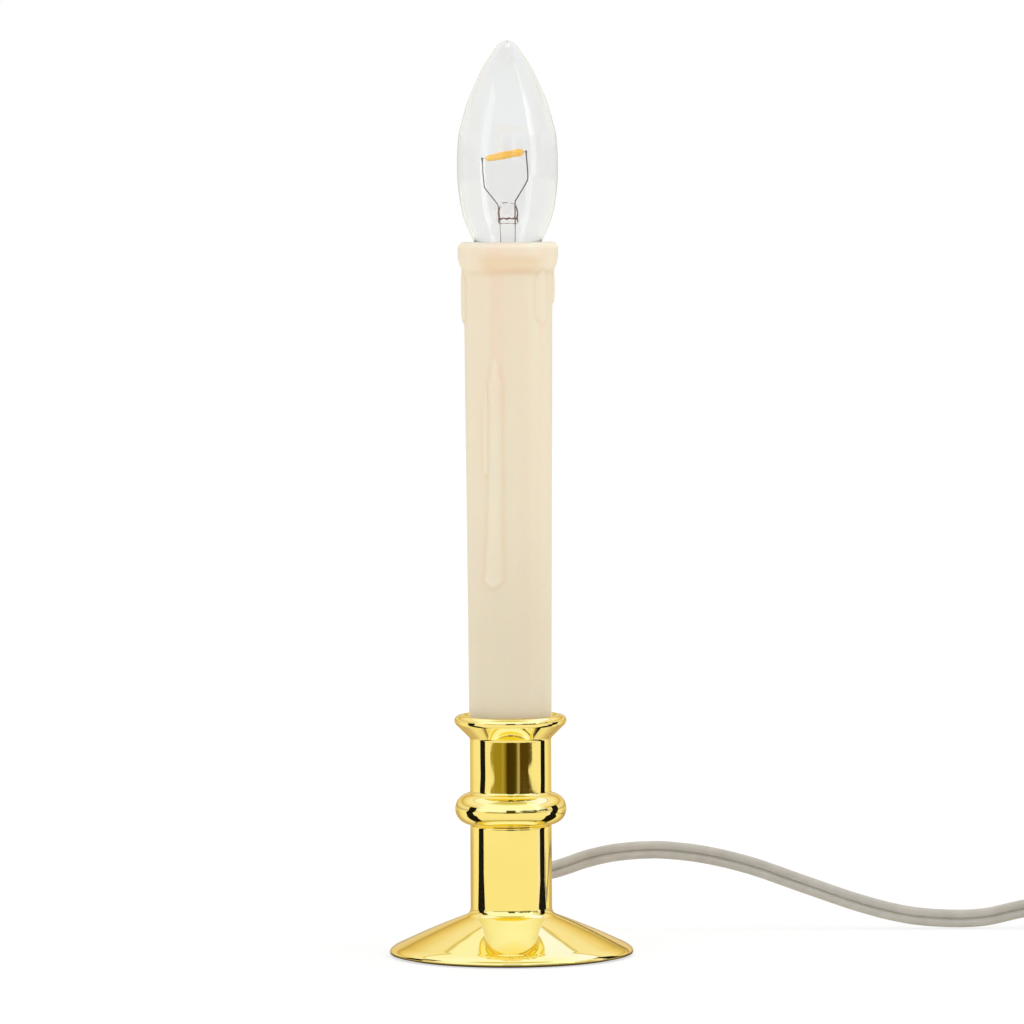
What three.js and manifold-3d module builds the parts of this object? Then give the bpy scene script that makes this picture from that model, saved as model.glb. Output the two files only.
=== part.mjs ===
// Electric window candle: a plated candlestick base with a flat cord out of its
// back, an ivory candle sleeve with moulded wax drips, and a clear candle bulb
// that screws into a socket inside the sleeve's mouth.
// Sizes are in millimetres, +Z is up, and the origin lies on the surface that the
// candle stands on, on the candle's axis. The front faces -Y.
import * as THREE from 'three';
import { mergeVertices } from 'three/addons/utils/BufferGeometryUtils.js';
import Module from 'manifold-3d';

const wasm = await Module();
wasm.setup();

// Clearances
const fitGap = 0.3; // between a piece and what it passes through or turns in
const seatGap = 0.25; // square to a sloping seat
const joinDepth = 0.5; // how far the solids of one piece run into each other

// Foot and column, one spun shell
const shellWall = 1.0;
const rimLift = 0.4;
const rimRound = 0.5;
const rimBreadth = 3.0;
const footRadius = 30.5;
const footShoulderHeight = 3.1;
const footTopHeight = 10.4;
const footFillet = 0.9;
const columnRadius = 10.2;
const columnTop = 32.5;
const columnEdgeRound = 0.25;

// Underside
const padThickness = 1.2;
const plateThickness = 0.8;
const ballastBore = 12.0;
const ballastRimGap = 2.2;

// Collar, a half-round bead between the column and the cup
const beadRadius = 3.9;
const beadSink = 0.15; // how far the bead's centre lies inside the column's face
const beadLift = 0.3;
const collarFillet = 0.7;

// Candle cup
const neckRadius = 10.2;
const neckLength = 13.15;
const cupWall = 0.6;
const cupFloor = 1.0;
const flareWall = 0.8;
const lipRadius = 14.05;
const lipRound = 1.4;

// Stem: hollow threaded rod with its nuts and washers
const rodRadius = 4.85;
const rodBore = 3.5;
const rodTail = 8.0; // length below the column's top
const nutAcross = 14.0;
const nutHeight = 3.5;
const washerThickness = 0.8;
const washerRadius = 7.6;

// Candle sleeve
const sleeveLength = 122.4;
const sleeveWall = 1.3;
const sleeveFootRadius = 10.3;
const sleeveNeckRadius = 11.05;
const spigotWall = 0.9;
const rimRadius = 12.5;
const rimHeight = 6.9;
const rimCove = 2.6;
const rimCrown = 1.6;
const mouthRadius = 9.3;
const mouthRound = 0.8;
const dripTaper = 4.0; // length over which a drip starts

// Wax drips on the sleeve: azimuth in degrees from the front towards +X,
// half width and thickness, and the heights where the drip starts and ends
const drips = [
  { azimuth: -19, halfWidth: 1.9, thickness: 0.55, top: 149, bottom: 93, bulge: 0.75 },
  { azimuth: -31, halfWidth: 1.0, thickness: 0.35, top: 144, bottom: 121, bulge: 0 },
  { azimuth: 54, halfWidth: 2.0, thickness: 0.6, top: 175, bottom: 158.5, bulge: 0.2 },
  { azimuth: -90, halfWidth: 3.2, thickness: 0.7, top: 175, bottom: 158, bulge: 0.1 },
  { azimuth: 95, halfWidth: 2.6, thickness: 0.6, top: 175, bottom: 163, bulge: 0.1 },
  { azimuth: 150, halfWidth: 1.9, thickness: 0.6, top: 175, bottom: 132, bulge: 0.5 },
  { azimuth: -145, halfWidth: 2.2, thickness: 0.6, top: 175, bottom: 147, bulge: 0.4 },
];

// Socket: a moulded cup on the stem with a threaded shell inside
const socketInset = 10.9; // socket's top below the sleeve's
const socketHeight = 32.3;
const socketRadius = 8.0;
const socketWall = 1.1;
const wiringSpace = 6.6;
const socketFloor = 2.5;
const socketLipHeight = 1.2;
const socketEdge = 0.6;
const hubHeight = 8.0;
const hubRadius = 6.6;
const hubFlange = 1.2;
const terminalOffset = 4.3;
const terminalPinRadius = 0.9;
const terminalHeadRadius = 1.6;
const terminalHeadHeight = 0.6;
const stripThickness = 0.4;
const stripWidth = 3.0;
const tongueRise = 2.9;
const tongueReach = 6.0; // from the axis to its fixed end
const tongueFlat = 2.6;
const tongueTip = 1.0;
const socketShellLength = 17.5;

// Edison screw shared by the bulb and the socket
const threadPitch = 2.54;
const threadRadius = 5.55; // bulb's mean radius
const threadDepth = 0.3; // mean to crest
const shellMetal = 0.3;
const threadSides = 16;
const threadRingsPerTurn = 4;

// Bulb
const bulbShellLength = 15.5;
const insulatorHeight = 2.4;
const tipContactHeight = 1.4;
const tipContactRadius = 1.8;
const tipContactEdge = 0.5;
const insulatorFlange = 0.9;
const insulatorRim = 0.4;
const glassRadius = 12.55;
const glassLength = 60.4; // above the screw shell
const glassWall = 0.6;
const glassNeckDepth = 7.5;
const glassNeckRise = 0.4; // straight neck above the screw shell
const stemFlareDepth = 7.0; // from the screw shell's top down to the flare's foot
const stemFlareFoot = 2.5;
const stemTubeRadius = 1.6;
const stemTubeStart = 4.0; // above the screw shell, as the next two
const stemTubeEnd = 11.0;
const pinchWidth = 5.0;
const pinchThickness = 2.4;
const pinchTop = 17.0;
const pinchRise = 2.5; // from the round tube to the flat pinch
const pinchEdge = 0.4;
const leadRadius = 0.22;
// Bends of a lead wire: distance from the axis and height above the pinch
const leadBends = [[1.6, 0], [1.8, 2.4], [4.3, 5.4]];
const leadBowWidth = 0.9; // how far it bows out before it turns to the filament
const leadBowRise = 8.5;
const leadHook = 1.4;
const filamentRadius = 0.9;
const filamentHalfLength = 5.0;
const filamentHeight = 31.9; // above the screw shell
const filamentTilt = 0.2; // radians
const filamentShift = -0.7;
const boardWidth = 7.0;
const boardThickness = 1.0;
const boardHeight = 6.0;
const capacitorSize = [4.2, 2.2, 4.4];

// Mains wires inside the stem
const wireRadius = 1.1;
const wireOffset = 1.9;
const wireStraight = 8.0; // straight stretch inside each end of the stem

// Flat twin cord
const cordWide = 4.6;
const cordThick = 2.3;
const cordHeight = 14.6; // where it leaves the column

// Strain relief
const reliefLength = 20.0;
const reliefRootRadius = 3.2;
const reliefTipWide = 2.9;
const reliefTipThick = 1.9;
const reliefWaist = 0.86; // share of the radius left in its grooves
const reliefNeckRadius = 2.3;
const reliefFlangeRadius = 3.1;
const reliefFlange = 1.4;

// Inline switch
const switchCentre = new THREE.Vector3(159, 50, 0);
const switchLength = 42.0;
const switchWidth = 15.0;
const switchHeight = 11.0;
const switchCorner = 3.0;
const switchEdge = 1.2;
const switchWheelRadius = 8.6;
const switchWheelHeight = 4.0;
const wheelGap = 0.4;
const wheelTeeth = 24;
const toothDepth = 0.35;
const axleRadius = 1.1;
const axleLength = 8.4;
const screwOffset = 15.5;
const screwBottom = 2.0;
const screwRadius = 1.2;
const screwHeadRadius = 2.2;
const screwHeadHeight = 1.4;
const screwHeadSink = 0.2;

// Coil of spare cord, put away with a tie round it
const coilCentre = new THREE.Vector3(172, 6, 0);
const coilRadius = 31.0; // outermost turn
const coilPitch = 3.0; // radial, per turn
const coilTurns = 7.75;
const coilLayerRise = 5.1;
const coilStepsPerTurn = 24;
const tieThickness = 0.8;
const tieWidth = 5.0;
const tieCorner = 0.6;
const tieAngle = 225; // degrees round the coil from +X

// Plug
const plugStart = new THREE.Vector3(212, 37, 7);
const plugLength = 24.0;
const plugWidth = 24.0;
const plugHeight = 14.0;
const plugTailWidth = 8.0;
const plugTailHeight = 6.5;
const plugTailLength = 7.0;
const plugShoulder = 12.0; // from the tail's end to where the body has its breadth
const plugShoulderRound = 2.5;
const plugEdge = 0.7;
const bladeSpacing = 12.7;
const bladeThickness = 1.5;
const bladeLength = 16.5;
const bladeRoot = 6.0;
const hotBladeWidth = 6.35;
const neutralBladeWidth = 7.94;

// Materials
const colours = {
  gold: ['#e8c84a', 0.12, 1.0],
  steel: ['#9a9c9e', 0.35, 1.0],
  brass: ['#c9a24a', 0.3, 1.0],
  iron: ['#4a4a4c', 0.7, 0.8],
  felt: ['#26221e', 0.95, 0.0],
  ivory: ['#efdcbf', 0.4, 0.0],
  phenolic: ['#2a211c', 0.45, 0.0],
  glass: ['#eef2f2', 0.05, 0.0],
  filament: ['#f0a428', 0.6, 0.0],
  wire: ['#77706a', 0.4, 0.9],
  vitrite: ['#15130f', 0.2, 0.0],
  board: ['#2f5b3a', 0.6, 0.0],
  capacitor: ['#7a4a22', 0.5, 0.0],
  cord: ['#cfc6bb', 0.5, 0.0],
  moulding: ['#ded5c8', 0.5, 0.0],
  leadBlack: ['#2b2b2d', 0.5, 0.0],
  leadWhite: ['#d9d6cf', 0.5, 0.0],
  tie: ['#3a3a3c', 0.5, 0.0],
};
const materials = Object.fromEntries(
  Object.entries(colours).map(([name, [color, roughness, metalness]]) => [
    name,
    new THREE.MeshStandardMaterial({ name, color, roughness, metalness }),
  ]),
);

const candle = new THREE.Group();

function addPiece(name, geometry, material) {
  const mesh = new THREE.Mesh(geometry, materials[material]);
  mesh.name = name;
  candle.add(mesh);
}

// Geometry helpers

// Shared vertices only, with the faces turned to point outward.
function closedGeometry(geometry) {
  const bare = new THREE.BufferGeometry();
  bare.setAttribute('position', geometry.getAttribute('position'));
  if (geometry.index) bare.setIndex(geometry.index);
  const merged = mergeVertices(bare, 1e-4);
  const spot = merged.getAttribute('position');
  const corners = merged.index.array;
  const [a, b, c] = [new THREE.Vector3(), new THREE.Vector3(), new THREE.Vector3()];
  const kept = [];
  let volume = 0;
  for (let i = 0; i < corners.length; i += 3) {
    const [p, q, r] = [corners[i], corners[i + 1], corners[i + 2]];
    if (p === q || q === r || r === p) continue;
    kept.push(p, q, r);
    a.fromBufferAttribute(spot, p);
    b.fromBufferAttribute(spot, q);
    c.fromBufferAttribute(spot, r);
    volume += a.dot(b.cross(c)) / 6;
  }
  if (volume < 0) kept.reverse();
  merged.setIndex(kept);
  merged.computeVertexNormals();
  return merged;
}

// Turns an outline of [radius, height] points, or a path of them, about +Z.
function turned(outline, sides = 36) {
  const points = Array.isArray(outline)
    ? outline.map(([r, z]) => new THREE.Vector2(r, z))
    : outline.getPoints(3);
  const open = points[0].x > 1e-6 || points.at(-1).x > 1e-6;
  if (open && points[0].distanceTo(points.at(-1)) > 1e-6) points.push(points[0].clone());
  const lathe = new THREE.LatheGeometry(points, sides);
  lathe.rotateX(Math.PI / 2);
  return closedGeometry(lathe);
}

// Joins rings of equally many points. A looped set closes on its first ring,
// and any other set is capped at both ends.
function skinned(rings, looped) {
  const count = rings[0].length;
  const positions = rings.flat().flatMap((p) => [p.x, p.y, p.z]);
  const indices = [];
  const joins = looped ? rings.length : rings.length - 1;
  for (let i = 0; i < joins; i += 1) {
    const here = i * count;
    const next = ((i + 1) % rings.length) * count;
    for (let j = 0; j < count; j += 1) {
      const k = (j + 1) % count;
      indices.push(here + j, here + k, next + k, here + j, next + k, next + j);
    }
  }
  if (!looped) {
    const last = (rings.length - 1) * count;
    for (let j = 1; j < count - 1; j += 1) {
      indices.push(0, j + 1, j, last, last + j, last + j + 1);
    }
  }
  const geometry = new THREE.BufferGeometry();
  geometry.setAttribute('position', new THREE.Float32BufferAttribute(positions, 3));
  geometry.setIndex(indices);
  return closedGeometry(geometry);
}

// A level ring of points whose radius may change with the angle.
function levelRing(z, radiusAt, sides) {
  return Array.from({ length: sides }, (_, i) => {
    const angle = (2 * Math.PI * i) / sides;
    const r = radiusAt(angle, z);
    return new THREE.Vector3(r * Math.cos(angle), r * Math.sin(angle), z);
  });
}

function toSolid(geometry) {
  const closed = closedGeometry(geometry);
  return new wasm.Manifold(
    new wasm.Mesh({
      numProp: 3,
      vertProperties: new Float32Array(closed.getAttribute('position').array),
      triVerts: new Uint32Array(closed.index.array),
    }),
  );
}

function fromSolid(solid) {
  const mesh = solid.getMesh();
  const geometry = new THREE.BufferGeometry();
  geometry.setAttribute('position', new THREE.BufferAttribute(mesh.vertProperties, 3));
  geometry.setIndex(new THREE.BufferAttribute(mesh.triVerts, 1));
  return closedGeometry(geometry);
}

function cutFrom(geometry, ...tools) {
  return fromSolid(tools.reduce((solid, tool) => solid.subtract(toSolid(tool)), toSolid(geometry)));
}

function joined(...geometries) {
  const solids = geometries.map(toSolid);
  return fromSolid(solids.reduce((whole, next) => whole.add(next)));
}

function rod(radius, low, high, x = 0, y = 0, sides = 20) {
  const cylinder = new THREE.CylinderGeometry(radius, radius, high - low, sides);
  return cylinder.rotateX(Math.PI / 2).translate(x, y, (low + high) / 2);
}

function block(width, depth, height, x, y, bottom) {
  return new THREE.BoxGeometry(width, depth, height).translate(x, y, bottom + height / 2);
}

function roundedRectangle(width, height, corner) {
  const shape = new THREE.Shape();
  const [x, y] = [width / 2 - corner, height / 2 - corner];
  shape.absarc(x, y, corner, 0, Math.PI / 2);
  shape.absarc(-x, y, corner, Math.PI / 2, Math.PI);
  shape.absarc(-x, -y, corner, Math.PI, 1.5 * Math.PI);
  shape.absarc(x, -y, corner, 1.5 * Math.PI, 2 * Math.PI);
  return shape;
}

// A route whose sections stay upright: local x lies level and y as near +Z as
// the slope allows.
class UprightRoute extends THREE.CatmullRomCurve3 {
  computeFrenetFrames(segments) {
    const tangents = [];
    const normals = [];
    const binormals = [];
    for (let i = 0; i <= segments; i += 1) {
      const tangent = this.getTangentAt(i / segments).normalize();
      const level = new THREE.Vector3(-tangent.y, tangent.x, 0).normalize();
      tangents.push(tangent);
      normals.push(level);
      binormals.push(new THREE.Vector3().crossVectors(tangent, level));
    }
    return { tangents, normals, binormals };
  }
}

function alongRoute(section, route, steps) {
  return closedGeometry(
    new THREE.ExtrudeGeometry(section, { steps, bevelEnabled: false, extrudePath: route }),
  );
}

function roundSection(radius, sides) {
  const points = Array.from({ length: sides }, (_, i) => {
    const angle = (2 * Math.PI * i) / sides;
    return new THREE.Vector2(radius * Math.cos(angle), radius * Math.sin(angle));
  });
  return new THREE.Shape(points);
}

function points3(rows) {
  return rows.map(([x, y, z]) => new THREE.Vector3(x, y, z));
}

// Base

const shoulderRadius = footRadius - rimBreadth;
const coneSlope = (footTopHeight - footShoulderHeight) / (shoulderRadius - columnRadius);
const coneAngle = Math.atan(coneSlope);
const coneHeight = (r, inset = 0) =>
  footShoulderHeight + coneSlope * (shoulderRadius - r) - inset / Math.cos(coneAngle);
const coneRadius = (z, inset = 0) =>
  shoulderRadius - (z + inset / Math.cos(coneAngle) - footShoulderHeight) / coneSlope;
const columnBore = columnRadius - shellWall;
const webBottom = columnTop - shellWall;
const rodHole = rodRadius + fitGap;

function baseShell() {
  const innerRim = footRadius - shellWall;
  const outline = new THREE.Path();
  outline.moveTo(innerRim, rimLift);
  outline.lineTo(footRadius - rimRound, rimLift);
  outline.quadraticCurveTo(footRadius, rimLift, footRadius, rimLift + rimRound);
  outline.quadraticCurveTo(
    footRadius, coneHeight(footRadius), shoulderRadius, footShoulderHeight);
  outline.lineTo(
    columnRadius + footFillet * Math.cos(coneAngle),
    footTopHeight - footFillet * Math.sin(coneAngle));
  outline.quadraticCurveTo(
    columnRadius, footTopHeight, columnRadius, footTopHeight + footFillet);
  outline.lineTo(columnRadius, columnTop - columnEdgeRound);
  outline.lineTo(columnRadius - columnEdgeRound, columnTop);
  outline.lineTo(rodHole, columnTop);
  outline.lineTo(rodHole, webBottom);
  outline.lineTo(columnBore, webBottom);
  outline.lineTo(columnBore, coneHeight(columnBore, shellWall));
  outline.lineTo(innerRim, coneHeight(innerRim, shellWall));
  const cordHole = rod(reliefNeckRadius + fitGap, 0, 2 * columnRadius)
    .rotateX(-Math.PI / 2)
    .translate(0, 0, cordHeight);
  return cutFrom(turned(outline), cordHole);
}

const plateTop = padThickness + plateThickness;
const padRadius = Math.min(
  footRadius - shellWall - fitGap,
  coneRadius(padThickness, shellWall + fitGap));
const plateRadius = coneRadius(plateTop, shellWall + fitGap);
const ballastRadius = plateRadius - ballastRimGap;

function disc(radius, bottom, top) {
  return turned([[0, bottom], [radius, bottom], [radius, top], [0, top]]);
}

function ballastRing() {
  const inset = shellWall + fitGap;
  return turned([
    [ballastBore, plateTop],
    [ballastRadius, plateTop],
    [ballastRadius, coneHeight(ballastRadius, inset)],
    [ballastBore, coneHeight(ballastBore, inset)],
  ]);
}

addPiece('base_shell', baseShell(), 'gold');
addPiece('base_pad', disc(padRadius, 0, padThickness), 'felt');
addPiece('bottom_plate', disc(plateRadius, padThickness, plateTop), 'steel');
addPiece('ballast_ring', ballastRing(), 'iron');

// Collar

const beadHeight = columnTop + beadLift + beadRadius;
const beadCentre = columnRadius - beadSink;
const filletReach = neckRadius + collarFillet - beadCentre;
const filletHeight = beadHeight + Math.sqrt((beadRadius + collarFillet) ** 2 - filletReach ** 2);
const collarTop = filletHeight;

function collar() {
  const filletAngle = Math.atan2(filletHeight - beadHeight, filletReach);
  const outline = new THREE.Path();
  outline.moveTo(rodHole, columnTop);
  outline.lineTo(beadCentre, columnTop);
  outline.absarc(beadCentre, beadHeight, beadRadius, -Math.PI / 2, filletAngle);
  outline.absarc(
    neckRadius + collarFillet, filletHeight, collarFillet, Math.PI + filletAngle, Math.PI, true);
  outline.lineTo(rodHole, collarTop);
  return turned(outline);
}

addPiece('collar', collar(), 'gold');

// Candle cup

const cupBore = neckRadius - cupWall;
const flareStart = collarTop + neckLength;
const floorTop = collarTop + cupFloor;
const flareInner = (r, inset = 0) =>
  flareStart + (r - neckRadius) + (flareWall + inset) * Math.SQRT2;

function candleCup() {
  const lipCentre = lipRadius - lipRound;
  const lipHeight = flareStart + (lipCentre - neckRadius) + lipRound * Math.SQRT2;
  const lipEnd = 1.75 * Math.PI - Math.acos((lipRound - flareWall) / lipRound);
  const outline = new THREE.Path();
  outline.moveTo(rodHole, collarTop);
  outline.lineTo(neckRadius, collarTop);
  outline.lineTo(neckRadius, flareStart);
  outline.absarc(lipCentre, lipHeight, lipRound, -Math.PI / 4, lipEnd);
  outline.lineTo(cupBore, flareInner(cupBore));
  outline.lineTo(cupBore, floorTop);
  outline.lineTo(rodHole, floorTop);
  return turned(outline);
}

addPiece('candle_cup', candleCup(), 'gold');

// Stem

const shoulderHeight = flareInner(sleeveFootRadius, seatGap);
const sleeveTop = shoulderHeight + sleeveLength;
const socketTop = sleeveTop - socketInset;
const socketBottom = socketTop - socketHeight;
const rodTop = socketBottom - hubFlange;
const rodBottom = columnTop - rodTail;

function ringPiece(inner, outer, bottom, top, sides = 32) {
  return turned([[inner, bottom], [outer, bottom], [outer, top], [inner, top]], sides);
}

function nut(bottom) {
  const cornerRadius = nutAcross / 2 / Math.cos(Math.PI / 6);
  const hexagon = roundSection(cornerRadius, 6);
  const hole = new THREE.Path();
  hole.absarc(0, 0, rodHole, 0, 2 * Math.PI, true);
  hexagon.holes.push(hole);
  const extruded = new THREE.ExtrudeGeometry(hexagon, {
    depth: nutHeight, bevelEnabled: false, curveSegments: 10,
  });
  return closedGeometry(extruded.translate(0, 0, bottom));
}

addPiece('stem_rod', ringPiece(rodBore, rodRadius, rodBottom, rodTop, 24), 'steel');
addPiece(
  'lower_washer', ringPiece(rodHole, washerRadius, webBottom - washerThickness, webBottom, 24),
  'steel');
addPiece('lower_nut', nut(webBottom - washerThickness - nutHeight), 'steel');
addPiece(
  'upper_washer', ringPiece(rodHole, washerRadius, floorTop, floorTop + washerThickness, 24),
  'steel');
addPiece('upper_nut', nut(floorTop + washerThickness), 'steel');

// Candle sleeve

const spigotRadius = cupBore - seatGap;
const spigotBottom = floorTop + washerThickness + nutHeight + fitGap;
const rimBottom = sleeveTop - rimHeight;

function sleeveTaper(z) {
  const along = (z - shoulderHeight) / (rimBottom - shoulderHeight);
  return sleeveFootRadius + (sleeveNeckRadius - sleeveFootRadius) * Math.min(1, along);
}

// How far the drips stand out of the sleeve at an angle and a height.
function dripHeight(angle, z) {
  let height = 0;
  for (const drip of drips) {
    const centre = THREE.MathUtils.degToRad(drip.azimuth) - Math.PI / 2;
    const turn = Math.atan2(Math.sin(angle - centre), Math.cos(angle - centre));
    const down = THREE.MathUtils.clamp((drip.top - z) / (drip.top - drip.bottom), 0, 1);
    const halfWidth = drip.halfWidth * (1 + (drip.bulge * down ** 4) / 2);
    const endLeft = THREE.MathUtils.clamp(
      Math.min((z - drip.bottom) / halfWidth, (drip.top - z) / dripTaper), 0, 1);
    const across = (turn * sleeveTaper(z)) / halfWidth / Math.max(0.2, Math.sqrt(endLeft));
    const crest = drip.thickness * (1 + (drip.bulge * down ** 4) / 2) * Math.sqrt(endLeft);
    height = Math.max(height, crest * Math.max(0, 1 - across ** 2));
  }
  return height;
}

function candleSleeve() {
  const sides = 36;
  const plain = (radius) => () => radius;
  const dripped = (angle, z) => sleeveTaper(z) + dripHeight(angle, z);
  const rings = [
    levelRing(spigotBottom, plain(spigotRadius), sides),
    levelRing(shoulderHeight, plain(spigotRadius), sides),
    levelRing(shoulderHeight, plain(sleeveFootRadius), sides),
  ];
  const lowestDrip = Math.min(...drips.map((drip) => drip.bottom));
  const dripRings = 15;
  const top = rimBottom - rimCove;
  for (let i = 0; i <= dripRings; i += 1) {
    rings.push(levelRing(lowestDrip + ((top - lowestDrip) * i) / dripRings, dripped, sides));
  }
  const crownCentre = sleeveTop - rimCrown;
  rings.push(levelRing(rimBottom, plain((sleeveNeckRadius + rimRadius * 2) / 3), sides));
  rings.push(levelRing(rimBottom + rimCove / 2, plain(rimRadius), sides));
  for (const degrees of [0, 30, 60, 90]) {
    const lean = THREE.MathUtils.degToRad(degrees);
    const radius = rimRadius - rimCrown + rimCrown * Math.cos(lean);
    rings.push(levelRing(crownCentre + rimCrown * Math.sin(lean), plain(radius), sides));
  }
  const neckBore = sleeveNeckRadius - sleeveWall;
  rings.push(levelRing(sleeveTop, plain(mouthRadius + mouthRound), sides));
  rings.push(levelRing(sleeveTop - mouthRound, plain(mouthRadius), sides));
  rings.push(levelRing(rimBottom + mouthRound, plain(mouthRadius), sides));
  rings.push(levelRing(rimBottom, plain(neckBore), sides));
  rings.push(levelRing(shoulderHeight + fitGap, plain(sleeveFootRadius - sleeveWall), sides));
  rings.push(levelRing(shoulderHeight, plain(spigotRadius - spigotWall), sides));
  rings.push(levelRing(spigotBottom, plain(spigotRadius - spigotWall), sides));
  return skinned(rings, true);
}

addPiece('candle_sleeve', candleSleeve(), 'ivory');

// Socket

const socketBore = socketRadius - socketWall;
const floorUnder = socketBottom + wiringSpace;
const socketFloorTop = floorUnder + socketFloor;
const headTop = socketFloorTop + terminalHeadHeight;
const stripBottom = headTop + fitGap;
const socketThreadRadius = threadRadius + fitGap;
const socketShellOuter = socketThreadRadius + threadDepth + shellMetal;
const socketShellTop = socketTop - socketLipHeight - fitGap;
const socketShellBottom = socketShellTop - socketShellLength;

// Radius of a right-hand thread: turning by an angle and rising by the same
// share of the pitch brings it onto itself. Over its first and last turn it fades
// to its crest, as an inner thread does (side 1), or to its root (side -1).
function threadAt(meanRadius, bottom, top, side) {
  return (angle, z) => {
    const fade = THREE.MathUtils.clamp(Math.min(z - bottom, top - z) / threadPitch, 0, 1);
    const phase = (2 * Math.PI * z) / threadPitch - angle;
    return meanRadius + threadDepth * (fade * Math.cos(phase) + (1 - fade) * side);
  };
}

function threadRings(meanRadius, bottom, top, side) {
  const count = Math.ceil(((top - bottom) / threadPitch) * threadRingsPerTurn);
  const radiusAt = threadAt(meanRadius, bottom, top, side);
  return Array.from({ length: count + 1 }, (_, i) =>
    levelRing(bottom + ((top - bottom) * i) / count, radiusAt, threadSides));
}

function socketHub() {
  return turned([
    [rodHole, rodTop - hubHeight],
    [hubRadius, rodTop - hubHeight],
    [hubRadius, rodTop],
    [socketRadius, rodTop],
    [socketRadius, socketBottom],
    [rodBore, socketBottom],
    [rodBore, rodTop],
    [rodHole, rodTop],
  ], 24);
}

function socketBody() {
  const lipBore = socketThreadRadius + threadDepth + shellMetal / 2;
  const body = turned([
    [0, socketFloorTop],
    [socketBore, socketFloorTop],
    [socketBore, socketTop - socketLipHeight],
    [lipBore, socketTop - socketLipHeight],
    [lipBore, socketTop],
    [socketRadius - socketEdge, socketTop],
    [socketRadius, socketTop - socketEdge],
    [socketRadius, socketBottom],
    [socketBore, socketBottom],
    [socketBore, floorUnder],
    [0, floorUnder],
  ], 28);
  const pinHole = (x) =>
    rod(terminalPinRadius + fitGap, floorUnder - joinDepth, socketFloorTop + joinDepth, x, 0, 12);
  return cutFrom(body, pinHole(-terminalOffset), pinHole(terminalOffset));
}

function terminal(x) {
  return joined(
    rod(terminalPinRadius, floorUnder, socketFloorTop + terminalHeadHeight / 2, x, 0, 12),
    rod(terminalHeadRadius, socketFloorTop, headTop, x, 0, 12));
}

// Threaded shell with a strip that runs down the wall and over its terminal.
function socketShell() {
  const rings = threadRings(socketThreadRadius, socketShellBottom, socketShellTop, 1);
  const outer = () => socketShellOuter;
  rings.push(levelRing(socketShellTop, outer, threadSides));
  rings.push(levelRing(socketShellBottom, outer, threadSides));
  const legOuter = socketShellOuter * Math.cos(Math.PI / threadSides);
  const legTop = socketShellBottom + joinDepth;
  const leg = block(
    stripThickness, stripWidth, legTop - stripBottom, legOuter - stripThickness / 2, 0, stripBottom);
  const footInner = terminalOffset - terminalHeadRadius;
  const foot = block(
    legOuter - footInner, stripWidth, stripThickness, (legOuter + footInner) / 2, 0, stripBottom);
  return joined(skinned(rings, true), leg, foot);
}

// Springy strip over the other terminal, rising to the middle of the socket.
const tongueTop = stripBottom + tongueRise;

function contactTongue() {
  const flatEnd = tongueFlat - tongueReach;
  const flatTop = stripBottom + stripThickness;
  const mitre = stripThickness / 2;
  const outline = new THREE.Shape(
    [
      [-tongueReach, stripBottom], [flatEnd, stripBottom],
      [-tongueTip, tongueTop - stripThickness], [tongueTip, tongueTop - stripThickness],
      [tongueTip, tongueTop], [-tongueTip - mitre, tongueTop],
      [flatEnd - mitre, flatTop], [-tongueReach, flatTop],
    ].map(([x, z]) => new THREE.Vector2(x, z)),
  );
  const extruded = new THREE.ExtrudeGeometry(outline, { depth: stripWidth, bevelEnabled: false });
  return closedGeometry(extruded.rotateX(Math.PI / 2).translate(0, stripWidth / 2, 0));
}

addPiece('socket_hub', socketHub(), 'brass');
addPiece('socket_body', socketBody(), 'phenolic');
addPiece('hot_terminal', terminal(-terminalOffset), 'brass');
addPiece('neutral_terminal', terminal(terminalOffset), 'brass');
addPiece('socket_screw_shell', socketShell(), 'brass');
addPiece('contact_tongue', contactTongue(), 'brass');

// Bulb

const tipBottom = tongueTop + fitGap;
const insulatorBottom = tipBottom + tipContactHeight;
const insulatorTop = insulatorBottom + insulatorHeight;
const bulbShellBottom = insulatorTop + fitGap;
const bulbShellTop = bulbShellBottom + bulbShellLength;
const bulbShellBore = threadRadius - threadDepth - shellMetal;
const glassNeckRadius = bulbShellBore - fitGap;

function bulbShell() {
  const rings = threadRings(threadRadius, bulbShellBottom, bulbShellTop, -1);
  const bore = () => bulbShellBore;
  rings.push(levelRing(bulbShellTop, bore, threadSides));
  rings.push(levelRing(bulbShellBottom, bore, threadSides));
  return skinned(rings, true);
}

function bulbInsulator() {
  return turned([
    [0, insulatorBottom],
    [tipContactRadius + insulatorFlange, insulatorBottom],
    [bulbShellBore + shellMetal, insulatorTop - insulatorRim],
    [bulbShellBore + shellMetal, insulatorTop],
    [0, insulatorTop],
  ], 24);
}

// Envelope outline from the neck up, as shares of the largest radius and of the
// length above the screw shell. The last point is the tip.
const envelopeShape = [
  [0.5, 0.05], [0.68, 0.172], [0.88, 0.275], [0.98, 0.39], [1.0, 0.49],
  [0.975, 0.6], [0.9, 0.67], [0.795, 0.745], [0.645, 0.82], [0.47, 0.895],
  [0.31, 0.945], [0.2, 0.978], [0.1, 0.994], [0.0, 1.0],
];

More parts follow.
